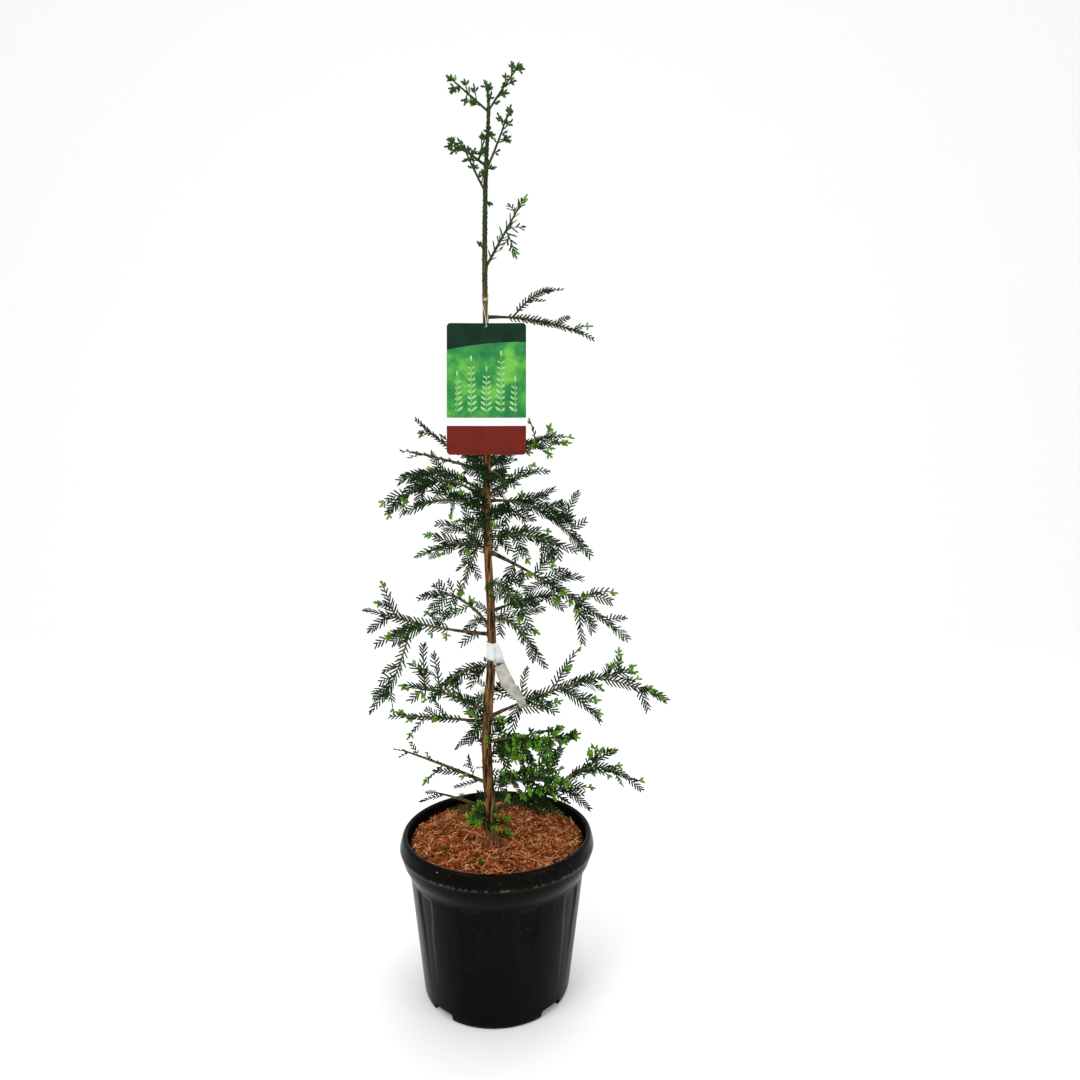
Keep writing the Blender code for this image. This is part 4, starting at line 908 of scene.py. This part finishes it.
def keep(store, kind, zone, side, placed):
    foot, tip = [line[3] for line in placed[:3]], [line[3] + line[0] for line in placed[:3]]
    if not nearCard(foot) and not nearCard(tip):
        store.setdefault((kind, zone), {}).setdefault(side, []).append(placed)


def combFace(way, chance):
    # combs hang turned, so most show a flat side to the front or the back
    look = Vector((chance.gauss(0, 0.4), chance.choice((-1, 1)), chance.uniform(0.1, 1.0)))
    flat = look - way * look.dot(way)
    return (flat if flat.length > 0.2 else way.orthogonal()).normalized()


def growNeedles(limb, first, last, flat, size, shade, zone, chance, spacing=1.0, width=1.0):
    # two ranks of needles, longest in the middle of the twig and leaning on towards its tip
    run = limbLength(limb) * (last - first)
    count = max(2, int(run / (leaf["spacing"] * spacing)))
    for index in range(count):
        part = (index + 0.5) / count
        swell = 0.62 + 0.38 * math.sin(math.pi * min(1, 0.16 + part * 0.80))
        for side in (1, -1):
            share = min(1, first + (last - first) * (part + side * 0.2 / count))
            along = limbDirection(limb, share)
            across = flat.cross(along).normalized()
            start, end = leaf["angle"]
            angle = math.radians(start + (end - start) * part + chance.gauss(0, 4))
            way = along * math.cos(angle) + across * side * math.sin(angle) + flat * chance.gauss(0.04, 0.07)
            face = flat + across * side * chance.gauss(-0.2, 0.14)
            length = leaf["length"] * size * swell * chance.uniform(0.88, 1.08)
            scale = (length, leaf["width"] * width, leaf["thickness"])
            keep(needleStore, shade, zone, side, frameAt(limbAt(limb, share), way, face, scale))


def growScales(place, way, length, kind, zone, chance, step=scaleLeaf["step"], open=scaleLeaf["open"],
               size=1.0):
    # a short shoot of overlapping scale leaves, set in a spiral
    way = way.normalized()
    first = way.orthogonal().normalized()
    second = way.cross(first)
    turn = chance.uniform(0, 6.28)
    count = max(4, round(length / step))
    for index in range(count):
        part = (index + 0.3) / count
        turn += scaleLeaf["turn"]
        radial = first * math.cos(turn) + second * math.sin(turn)
        angle = math.radians(open[0] + (open[1] - open[0]) * part + chance.gauss(0, 6))
        grow = size * (0.85 + 0.3 * math.sin(math.pi * part)) * chance.uniform(0.85, 1.15)
        scale = [scaleLeaf[side] * grow for side in ("length", "width", "thickness")]
        aim = way * math.cos(angle) + radial * math.sin(angle)
        keep(knobStore, kind, zone, 0, frameAt(place + way * length * part, aim, way - radial * 0.3, scale))


def growTuft(place, way, flat, count, kind, zone, chance):
    # young growth at a tip: one knob on, and others packed round it
    way = way.normalized()
    across = flat.cross(way).normalized()
    growScales(place, way, chance.uniform(*tuft["first"]), kind, zone, chance)
    for index in range(count):
        side = 1 if index % 2 else -1
        angle = math.radians(chance.uniform(*tuft["spread"]))
        aim = way * math.cos(angle) + across * side * math.sin(angle) + flat * chance.gauss(0.1, 0.4)
        back = place - way * (0.0002 + tuft["back"] * index)
        growScales(back, aim, chance.uniform(*tuft["rest"]), kind, zone, chance)


def growNeck(limb, first, last, zone, chance, size=scaleLeaf["neckSize"]):
    # a stretch of stem clad in small close scales
    run = limbLength(limb) * (last - first)
    steps = max(1, int(run / twig["neckStep"]))
    for step in range(steps):
        share = first + (last - first) * step / steps
        growScales(limbAt(limb, share), limbDirection(limb, share), run / steps, "knobGreen", zone, chance,
                   scaleLeaf["neckStep"], scaleLeaf["neckOpen"], size)


def leafSize(row):
    return shortLeaved.get(row.get("name"), 1.0)


def shadeFor(row, chance):
    dark, middle = shades[row["habit"]]
    draw = chance.random()
    return "needleDark" if draw < dark else "needleMid" if draw < middle else "needleSoft"


def growTwig(root, way, size, row, zone, chance, level=1):
    way = way.normalized()
    across = way.cross(up) if abs(way.z) < 0.95 else Vector((1, 0, 0))
    sag = size * twig["sag"] * chance.uniform(0.3, 1.4)
    bend = size * chance.gauss(0, 0.06)
    tip = root + way * size * 0.96 + across * bend - up * sag
    limb = dict(out=way, root=root, middle=root + way * size * 0.5, tip=tip)
    growAlong(limb, size, row, zone, chance, level)


def growAlong(limb, size, row, zone, chance, level=1):
    # what a twig carries, by its habit: a comb, a bushy shoot, or scales alone
    tip, aim = limb["tip"], limbDirection(limb, 1)
    if nearCard(limb["root"]) or nearCard(tip):
        return
    flat = combFace(aim, chance)
    thick = twig["radius"] if level == 1 else twig["fineRadius"]
    shares, points = limbPoints(limb, twig["steps"])
    twigLines.append((points, [thick * (1 - twig["taper"] * share) for share in shares]))
    young = chance.random() < row["fresh"]
    if row["habit"] == "scale":
        growNeck(limb, 0.0, 0.96, zone, chance, scaleLeaf["scaleNeckSize"])
        kind = "knobFresh" if young and chance.random() < tuft["youngTip"] else "knobGreen"
        growTuft(tip, aim, flat, 3, kind, zone, chance)
        return
    if row["habit"] == "bush":
        growNeedles(limb, 0.05, 0.96, flat, leaf["bushSize"], shadeFor(row, chance), zone, chance,
                    width=leaf["bushWidth"])
        for index in range(int(size / twig["bushStep"])):
            share = (index + 0.6) * twig["bushStep"] / size
            side, along = 1 if index % 2 else -1, limbDirection(limb, share)
            sideWay = along + flat.cross(aim) * side * 0.9 + flat * chance.gauss(0.2, 0.3)
            growTuft(limbAt(limb, share) + sideWay.normalized() * 0.005, sideWay, flat, 2,
                     "knobFresh" if chance.random() < tuft["youngSide"] else "knobGreen", zone, chance)
        growTuft(tip, aim, flat, 3, "knobFresh", zone, chance)
        return
    last = 0.98 if not young else 0.78 if size > 0.03 else 0.6
    if size > twig["leastSize"]:
        growNeedles(limb, 0.04, last, flat, min(1, 0.34 + size / 0.07) * leafSize(row),
                    shadeFor(row, chance), zone, chance, leaf["thin"] if row["habit"] == "thin" else 1.0)
    if level == 1 and size > twig["forkFrom"] and chance.random() < twig["forkChance"]:
        share, side = chance.uniform(0.3, 0.6), chance.choice((-1, 1))
        sideWay = limbDirection(limb, share) * 0.76 + flat.cross(aim) * side * 0.65
        growTwig(limbAt(limb, share), sideWay, size * chance.uniform(0.35, 0.5), row, zone, chance, 2)
    if young:
        growNeck(limb, last - 0.03, 1.0, zone, chance)
        growTuft(tip, aim, flat, chance.choice((1, 2, 3, 4)), "knobFresh", zone, chance)
    elif chance.random() < twig["scaleChance"]:
        growScales(tip, aim, scaleLeaf["shoot"], "knobGreen", zone, chance)


def clotheStem(run, start, row, zone, chance):
    # what grows on a branch's stem itself: scales and small tufts, or needles
    flat = combFace(limbDirection(run, 0.6), chance)
    if row["habit"] != "scale":
        first = start + 0.04 if start else 0.10
        growNeedles(run, first, 0.98, flat, leaf["stemSize"] * leafSize(row), shadeFor(row, chance), zone,
                    chance, leaf["stemThin"] if row["habit"] == "thin" else leaf["stemSpacing"])
        return
    growNeck(run, 0.1, 0.98, zone, chance, scaleLeaf["scaleNeckSize"])
    for step in range(int(limbLength(run) / twig["tuftStep"])):
        share = min(0.98, 0.35 + step * twig["tuftStep"] / limbLength(run))
        side, along = 1 if step % 2 else -1, limbDirection(run, share)
        sideWay = along + flat.cross(along) * side * chance.uniform(0.5, 1.2)
        kind = "knobFresh" if chance.random() < row["fresh"] * tuft["stemShare"] else "knobGreen"
        growTuft(limbAt(run, share) + sideWay.normalized() * 0.003, sideWay, flat, 1, kind, zone, chance)


def growMass(row, seed):
    # a branch, its arms and its sprays by the shared rule, then the finer growth on them
    chance, fine = random.Random(seed), random.Random(seed + limbs["fineSeed"])
    zone = zoneOf(row["height"])
    limb = makeLimb(trunkAt(row["height"])[0], row["heading"], row["rise"], row["reach"], row["lift"])
    bare, full = row["bare"], limbs["barkShare"]
    spray = row["spray"] / 1000
    sites = spraySites(limb, bare + 0.06, row["sprays"], spray, row["droop"], chance)
    runs = [(limb, bare)]
    if bare:
        shares, points = limbPoints(limb, 8, 0, bare)
        boughLines.append((points, [limbRadius(row, share) * full for share in shares]))
    shares, points = limbPoints(limb, 12, bare)
    stemLines.append((points, [limbRadius(row, share) * full for share in shares]))
    for share, heading, rise, reach, lift, sprays in row["arms"]:
        start = bare + (1 - bare) * share
        arm = makeLimb(limbAt(limb, start), heading, rise, reach, lift)
        base = limbRadius(row, start) * limbs["armShare"]
        shares, points = limbPoints(arm, 8)
        stemLines.append((points, [base + (limbs["stemTipRadius"] - base) * share for share in shares]))
        sites += spraySites(arm, 0.16, sprays, spray * 0.85, row["droop"], chance)
        runs.append((arm, 0.0))
    for run, start in runs:
        clotheStem(run, start, row, zone, fine)
    sprayRow = dict(row, fresh=row["fresh"] * tuft["bushShare" if row["habit"] == "bush" else "twigShare"])
    for root, way, size in sites:
        growTwig(root, way, size, sprayRow, zone, fine)
    if row["habit"] in ("comb", "bush"):
        for run, start in runs:
            growSideShoots(run, start, sprayRow, zone, fine)
    for share, heading, rise, reach, lift, fresh, *arm in shoots.get(row["name"], ()):
        run = runs[arm[0] if arm else 0][0]
        shoot = makeLimb(limbAt(run, share), heading, rise, reach, lift)
        habit = "bush" if fresh > 1 else row["habit"]
        growAlong(shoot, limbLength(shoot), dict(name=row["name"], habit=habit, fresh=fresh), zone, fine)


def growSideShoots(run, start, row, zone, chance):
    # finer twigs between the rule's sprays
    length = limbLength(run) * (1 - start)
    endOn = abs(run["out"].y) > 0.75
    count = int(length / twig["endOnStep" if endOn else "sideStep"])
    often = twig["denseChance" if endOn or row["habit"] == "bush" else "sideChance"]
    for index in range(count):
        share = start + (1 - start) * (index + 0.3 + chance.random() * 0.5) / max(count, 1)
        side = 1 if index % 2 else -1
        along = limbDirection(run, share)
        across = rolledSide(run, along, chance.uniform(-1, 1))
        way = along * 0.62 + across * side * 0.72 - up * chance.uniform(-0.1, 0.25)
        if chance.random() < often:
            size = chance.uniform(0.014, 0.028) * (1.15 - 0.5 * share)
            growTwig(limbAt(run, share), way, size, row, zone, chance, 2)


topScales = dict(bottom=1.10, top=1.415, step=(0.0012, 0.0032), green=0.35, seed=404)
sprigSeed = 303


def growSprigs():
    chance = random.Random(sprigSeed)
    for low, high, count, length, habit, fresh in sprigs:
        for index in range(count):
            height = low + (high - low) * (index + chance.random()) / count
            centre, radius = trunkAt(height)
            heading, rise = chance.uniform(0, 360), chance.uniform(15, 60)
            if label["bottom"] - 0.01 < height < label["top"]:
                heading = heading / 2
            out = outward(heading)
            way = out + up * math.tan(math.radians(rise))
            size = length * chance.uniform(0.7, 1.2)
            growTwig(centre + out * radius * 0.8, way, size, dict(habit=habit, fresh=fresh), zoneOf(height),
                     chance, 2)


def growTopScales():
    # small leaves that lie on the green wood at the top
    chance = random.Random(topScales["seed"])
    height, turn = topScales["bottom"], 0.0
    while height < topScales["top"]:
        centre, radius = trunkAt(height)
        turn += chance.uniform(2.0, 2.8)
        radial = Vector((math.cos(turn), math.sin(turn), 0))
        size = chance.uniform(0.8, 1.4)
        scale = (scaleLeaf["length"] * size, scaleLeaf["width"], scaleLeaf["thickness"])
        kind = "knobGreen" if chance.random() < topScales["green"] else "knobDark"
        way = up + radial * chance.uniform(0.1, 0.4)
        keep(knobStore, kind, "high", 0, frameAt(centre + radial * radius * 0.9, way, radial, scale))
        height += chance.uniform(*topScales["step"])
    for x, y in mulch["scraps"]:
        place = Vector((x, y, mulchHeight(x, y) + 0.0024))
        growTuft(place, Vector((1, 0.3, 0)), up, 3, "knobGreen", "low", chance)


def barkRelief(piece, depthAt, width, run):
    # stringy ribs along a limb, and finer cracks across them
    mesh = piece.data
    for vert in mesh.vertices:
        p = vert.co
        ribs = noise.noise(Vector((p.x * width, p.y * width, p.z * run)))
        fine = noise.noise(Vector((p.x * width * 2.6, p.y * width * 2.6, p.z * run * 3.1 + 7)))
        vert.co = p + vert.normal * depthAt(p.z) * (ribs - abs(fine) * 0.5)


def makeTrunk():
    foot, top = trunk["course"][0][0], trunk["course"][-1][0]
    count = int((top - foot) / trunk["rowStep"])
    heights = [foot + (top - foot) * i / count for i in range(count + 1)]
    places = [trunkAt(height) for height in heights]
    piece = curvePiece("trunk", [([p for p, _ in places], [r for _, r in places])], [finishes["bark"]], 10)

    def depthAt(height):
        share = min(1, (height - foot) / 0.9)
        return trunk["ribDepth"] + (trunk["topRibDepth"] - trunk["ribDepth"]) * share

    for vert in piece.data.vertices:
        for row in branches:
            drop = (vert.co.z - row["height"]) / trunk["collarHeight"]
            if abs(drop) < 2.2:
                centre, _ = trunkAt(vert.co.z)
                away = (vert.co - centre).normalized()
                angle = math.radians(row["heading"])
                facing = away.x * math.cos(angle) + away.y * math.sin(angle)
                swell = max(0, facing) ** 3 * math.exp(-drop * drop)
                vert.co += away * swell * trunk["collarDepth"] * rootRadius(row) / trunk["collarRadius"]
    barkRelief(piece, depthAt, 300, 24)
    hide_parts("trunk")
    print("trunk:", len(piece.data.polygons), "faces")


def makeTree():
    for number, row in enumerate(branches):
        growMass(row, limbs["firstSeed"] + number)
    growSprigs()
    growTopScales()
    masses = {zone: ["foliage_" + row["name"] for row in branches if zoneOf(row["height"]) == zone]
              for zone in zones}
    allMasses = [name for names in masses.values() for name in names]
    boughs = curvePiece("boughs", boughLines, [finishes["bough"]], 5)
    barkRelief(boughs, lambda height: 0.0005, 500, 500)
    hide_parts(*["bough_" + row["name"] for row in branches if row["bare"]])
    stems = curvePiece("stems", stemLines, [finishes["stem"]], 3)
    barkRelief(stems, lambda height: 0.0003, 600, 600)
    twigs = curvePiece("twigs", twigLines, [finishes["greenTwig"]])
    for piece in (stems, twigs):
        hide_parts(*allMasses)
        print(piece.name + ":", len(piece.data.polygons), "faces")
    needleSections = [(0, 0.5), (0.2, 1.0), (0.78, 0.9), (1.0, 0.12)]
    needleShapes = {1: bladeShape(needleSections, -0.10, 0.05), -1: bladeShape(needleSections, 0.10, 0.05)}
    scaleShape = bladeShape([(0, 0.75), (0.5, 1.0), (1.0, 0.42)], 0, -0.30)
    scaleShape["slots"][:] = 0
    for (shade, zone), sides in sorted(needleStore.items()):
        piece = joinCopies(shade + zone.capitalize(), [(needleShapes[s], sides[s]) for s in sides],
                           [finishes[shade], finishes["needleUnder"]])
        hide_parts(*masses[zone])
    for (kind, zone), sides in sorted(knobStore.items()):
        piece = joinCopies(kind + zone.capitalize(), [(scaleShape, sides[0])], [finishes[kind]])
        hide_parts(*masses[zone])


# hang label, its cord, and the film band

label = dict(width=0.124, bottom=0.839, top=1.045, centre=-0.0155, y=-0.0300, thickness=0.0012,
             corner=0.006, holeRadius=0.0028, holeDrop=0.0070, redTop=0.8843, stripTop=0.8968,
             pictureTop=1.0130, bow=0.0016, columns=12, edgeSlant=0.0062, edgeBend=0.0040, clear=0.004,
             zones=("Header", "Field", "Strip", "Foot", "Back"))
stalks = dict(places=((-0.046, 0.058, 6), (-0.024, 0.082, 8), (0.000, 0.066, 7), (0.023, 0.090, 9),
                      (0.045, 0.050, 5)),
              ink=0.00012, leaf=0.0125, narrow=0.45, spread=52, crown=0.010, stalk=0.0035)
cord = dict(height=1.095, radius=0.0006, ply=0.00034, twist=0.0035, steps=16)


def smoothPath(knots, steps, closed=False):
    # a smooth run of points through the knots
    count = len(knots)
    points = []
    for index in range(count if closed else count - 1):
        k = [knots[(index + j) % count] if closed else knots[min(max(index + j, 0), count - 1)]
             for j in (-1, 0, 1, 2)]
        for step in range(steps):
            t = step / steps
            square, cube = 2 * k[0] - 5 * k[1] + 4 * k[2] - k[3], 3 * k[1] - k[0] - 3 * k[2] + k[3]
            points.append(0.5 * (2 * k[1] + (k[2] - k[0]) * t + square * t * t + cube * t ** 3))
    return points if closed else points + [knots[-1]]


def makeLabel():
    half, tall = label["width"] / 2, label["top"] - label["bottom"]
    form = bmesh.new()
    bmesh.ops.create_grid(form, x_segments=1, y_segments=1, size=0.5)
    bmesh.ops.scale(form, verts=form.verts, vec=(label["width"], tall, 1))
    rounded(form, list(form.verts), label["corner"], 6, "VERTICES")
    quarterTurn(form, "X")
    middle = (label["centre"], label["y"] - label["thickness"] / 2, label["bottom"] + tall / 2)
    bmesh.ops.translate(form, verts=form.verts, vec=middle)
    thicken(form, (0, label["thickness"], 0))
    hole = bmesh.new()
    bmesh.ops.create_cone(hole, cap_ends=True, segments=24, radius1=label["holeRadius"],
                          radius2=label["holeRadius"], depth=0.02)
    quarterTurn(hole, "X")
    bmesh.ops.translate(hole, verts=hole.verts,
                        vec=(label["centre"], label["y"], label["top"] - label["holeDrop"]))
    card = addPiece("hangLabel", form, [], ride=False)
    mesh = cutMesh(card, "labelPunch", hole)
    bpy.data.objects.remove(card, do_unlink=True)
    form = bmesh.new()
    form.from_mesh(mesh)
    bpy.data.meshes.remove(mesh)
    edges = (label["redTop"], label["stripTop"], label["pictureTop"])
    cuts = [(Vector((0, 0, z)), up) for z in edges]
    columns, side = label["columns"], label["centre"] - half
    cuts += [(Vector((side + label["width"] * i / columns, 0, 0)), Vector((1, 0, 0)))
             for i in range(1, columns)]
    for place, normal in cuts:
        bmesh.ops.bisect_plane(form, geom=list(form.verts) + list(form.edges) + list(form.faces),
                               plane_co=place, plane_no=normal, dist=0.00002)
    for face in form.faces:
        height = face.calc_center_median().z  # read before the header's edge is bent
        zone = 3 if height < edges[0] else 2 if height < edges[1] else 1 if height < edges[2] else 0
        face.material_index = zone if face.normal.y < -0.5 else 4
    for vert in form.verts:
        off = (vert.co.x - label["centre"]) / half
        if abs(vert.co.z - label["pictureTop"]) < weld:
            vert.co.z += label["edgeSlant"] * off - label["edgeBend"] * off * off
        vert.co.y -= label["bow"] * (off * off - 0.3)
    card = addPiece("hangLabel", form, [finishes["label" + zone] for zone in label["zones"]], smooth=30)
    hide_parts("label")


def leafPlate():
    # a flat pointed oval for the printed sprigs, 1 long
    form = bmesh.new()
    bmesh.ops.create_circle(form, cap_ends=True, radius=0.5, segments=12)
    for vert in form.verts:
        vert.co.y *= 0.34 * (1 - abs(vert.co.x) * 0.6)
        vert.co.x += 0.5
    thicken(form, up)
    return shapeOf(form)


def makeSprigPrint():
    # plain leaf sprigs in a row over the picture field, a hair proud of the card
    places = []
    ink, front = stalks["ink"], Vector((0, -1, 0))
    for offset, tall, pairs in stalks["places"]:
        for index in range(pairs):
            rise = label["stripTop"] + 0.010 + (tall - 0.006) * index / pairs
            size = stalks["leaf"] * (1 - stalks["narrow"] * index / pairs)
            for side in (1, -1):
                angle = math.radians(90 - side * stalks["spread"])
                along = Vector((math.cos(angle), 0, math.sin(angle)))
                places.append(frameAt(onCard(offset, rise), along, front, (size, size, ink)))
        crown = onCard(offset, label["stripTop"] + 0.006 + tall)
        places.append(frameAt(crown, up, front, (stalks["crown"], stalks["crown"], ink)))
        foot = onCard(offset, label["stripTop"] + 0.003)
        places.append(frameAt(foot, up, front, (tall + 0.004, stalks["stalk"], ink)))
    piece = joinCopies("labelSprigs", [(leafPlate(), places)], [finishes["sprigInk"]])
    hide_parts("label")


def onCard(offset, height):
    bowed = label["bow"] * ((offset / (label["width"] / 2)) ** 2 - 0.3)
    return Vector((label["centre"] + offset, label["y"] - label["thickness"] / 2 - bowed, height))


def makeCord():
    # two twisted plies: round the trunk, down both sides and through the label's hole
    centre, radius = trunkAt(cord["height"])
    ring = radius + cord["radius"] + 0.0005
    seat = Vector((label["centre"], label["y"], label["top"] - label["holeDrop"]
                   + label["holeRadius"] - cord["radius"] - 0.0005))
    face = label["thickness"] / 2 + cord["radius"] + 0.0012
    front, behind = seat + Vector((0, -face, 0.0006)), seat + Vector((0, face, 0.0006))
    knots = [front, front + Vector((-0.0006, 0, 0.0066)), front + Vector((-0.0016, 0.0014, 0.0143))]
    knots += [centre + Vector((-ring, -0.006, -0.008))]
    for step in range(9):
        angle = math.radians(180 - step * 22.5)
        knots.append(centre + Vector((math.cos(angle) * ring * 1.05, math.sin(angle) * ring * 1.05,
                                      0.002 * math.sin(angle))))
    knots += [centre + Vector((ring, -0.006, -0.008)), behind + Vector((0.0016, 0, 0.0143)),
              behind + Vector((0.0006, 0, 0.0066)), behind, seat]
    path = smoothPath(knots, cord["steps"], True)
    paths = []
    for ply in (0, math.pi):
        points, run = [], 0.0
        for index, point in enumerate(path):
            along = (path[(index + 1) % len(path)] - path[index - 1]).normalized()
            side = along.cross(Vector((0.2, 0.9, 0.1))).normalized()
            lift = along.cross(side)
            run += (point - path[index - 1]).length if index else 0
            turn = run / cord["twist"] * 2 * math.pi + ply
            points.append(point + (side * math.cos(turn) + lift * math.sin(turn)) * cord["ply"])
        paths.append((points + [points[0]], [cord["ply"]] * (len(points) + 1)))
    knot = centre + Vector((0.001, -ring - 0.0004, -0.009))
    for turnStart, size in ((0.3, 0.0020), (2.0, 0.0017)):
        loop = [knot + Vector((math.cos(turnStart + a * 0.6) * size, math.sin(a * 1.2) * 0.0006,
                               math.sin(turnStart + a * 0.6) * size)) for a in range(11)]
        paths.append((smoothPath(loop, 3), [cord["ply"] * 1.2] * (len(loop) * 3 - 2)))
    for end in (Vector((-0.008, -0.002, -0.004)), Vector((0.009, -0.003, 0.003))):
        tail = [knot, knot + end * 0.5 + up * 0.001, knot + end]
        paths.append((smoothPath(tail, 5), [cord["ply"] * 1.1] * 11))
    piece = curvePiece("labelCord", paths, [finishes["cotton"]])
    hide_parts("label_cord")


band = dict(
    bottom=0.517, top=0.544, clear=0.0011, film=0.0005, sides=40, rings=9, crease=0.0006, slant=0.002,
    knots=((-0.002, -0.002, 0.021), (0.002, -0.002, 0.006), (0.005, -0.002, -0.010),
           (0.011, -0.003, -0.026), (0.019, -0.004, -0.042), (0.030, -0.004, -0.056),
           (0.037, -0.004, -0.066), (0.041, -0.007, -0.073), (0.044, -0.004, -0.078),
           (0.046, 0.001, -0.075), (0.042, 0.003, -0.070)),
    widths=(0.008, 0.016, 0.018, 0.022, 0.023, 0.017, 0.014, 0.013, 0.012, 0.012, 0.012),
    steps=4, columns=6, wave=0.0022, cup=0.006)


def makeBand():
    # a wrap of thin film with its loose end hanging to the right
    form = bmesh.new()
    row = bmesh.ops.create_circle(form, cap_ends=False, radius=1.0, segments=band["sides"])["verts"]
    for step in range(band["rings"]):
        height = band["bottom"] + (band["top"] - band["bottom"]) * step / (band["rings"] - 1)
        if step:
            edges = [e for e in form.edges if e.verts[0] in row and e.verts[1] in row]
            row = newVerts(bmesh.ops.extrude_edge_only(form, edges=edges))
        centre, radius = trunkAt(height)
        for vert in row:
            out = Vector((vert.co.x, vert.co.y, 0))
            if step:
                out = out - Vector((lastCentre.x, lastCentre.y, 0))
            out.normalize()
            crease = noise.noise(Vector((out.x * 3, out.y * 3, height * 160))) * band["crease"]
            place = centre + out * (radius + band["clear"] + crease)
            vert.co = (place.x, place.y, height - out.x * band["slant"])
        lastCentre = centre
    ringFaces = list(form.faces)
    centre, radius = trunkAt(band["bottom"] + 0.006)
    start = centre + Vector((radius + 0.001, -radius * 0.5, 0.0))
    path = smoothPath([start + Vector(knot) for knot in band["knots"]], band["steps"])
    widths, columns = band["widths"], band["columns"]
    tail = bmesh.ops.create_grid(form, x_segments=columns, y_segments=len(path) - 1, size=0.5)["verts"]
    tail.sort(key=lambda v: (round(v.co.y, 4), round(v.co.x, 4)))
    for index, point in enumerate(path):
        along = (path[min(index + 1, len(path) - 1)] - path[max(index - 1, 0)]).normalized()
        share = index / (len(path) - 1) * (len(widths) - 1)
        knot = min(int(share), len(widths) - 2)
        wide = widths[knot] + (widths[knot + 1] - widths[knot]) * (share - knot)
        side = Vector((0.95, -0.25, 0.30))
        side = (side - along * side.dot(along)).normalized()
        for column in range(columns + 1):
            vert = tail[index * (columns + 1) + column]
            off = column / columns - 0.5
            wave = noise.noise(Vector((index * 0.22, column * 0.9, 4))) * band["wave"]
            wave += abs(off) ** 2 * band["cup"]
            vert.co = point + side * wide * off + along.cross(side) * wave
    bmesh.ops.recalc_face_normals(form, faces=ringFaces)
    finish, tree, shader = newFinish("film", 0.32, 0.3)
    shader.inputs["Transmission Weight"].default_value = 0.12
    cloud = pattern(tree, 90, Detail=4.0)
    dull = ramp(tree, cloud, [(0.35, (0.33, 0.31, 0.26)), (0.65, (0.58, 0.56, 0.50))])
    white = ramp(tree, cloud, [(0.35, (0.70, 0.71, 0.71)), (0.65, (0.84, 0.85, 0.86))])
    wrapShare = heightShare(tree, band["bottom"] - 0.010, band["bottom"] + 0.004)
    tree.links.new(blendColours(tree, wrapShare, dull, white), shader.inputs["Base Color"])
    creases = pattern(tree, 320, (1, 1, 0.4), Detail=3.0)
    relief(tree, shader, creases, 0.35, 0.0006)
    piece = addPiece("stemBand", form, [finish], smooth=60)
    film = piece.modifiers.new("film", "SOLIDIFY")
    film.thickness = band["film"]
    film.offset = 0
    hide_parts("stem_band")


makeCamera()
makeStage()
lightStage()
makePot()
makeMulch()
makeTrunk()
makeTree()
makeLabel()
makeSprigPrint()
makeCord()
makeBand()

print("all pieces made")
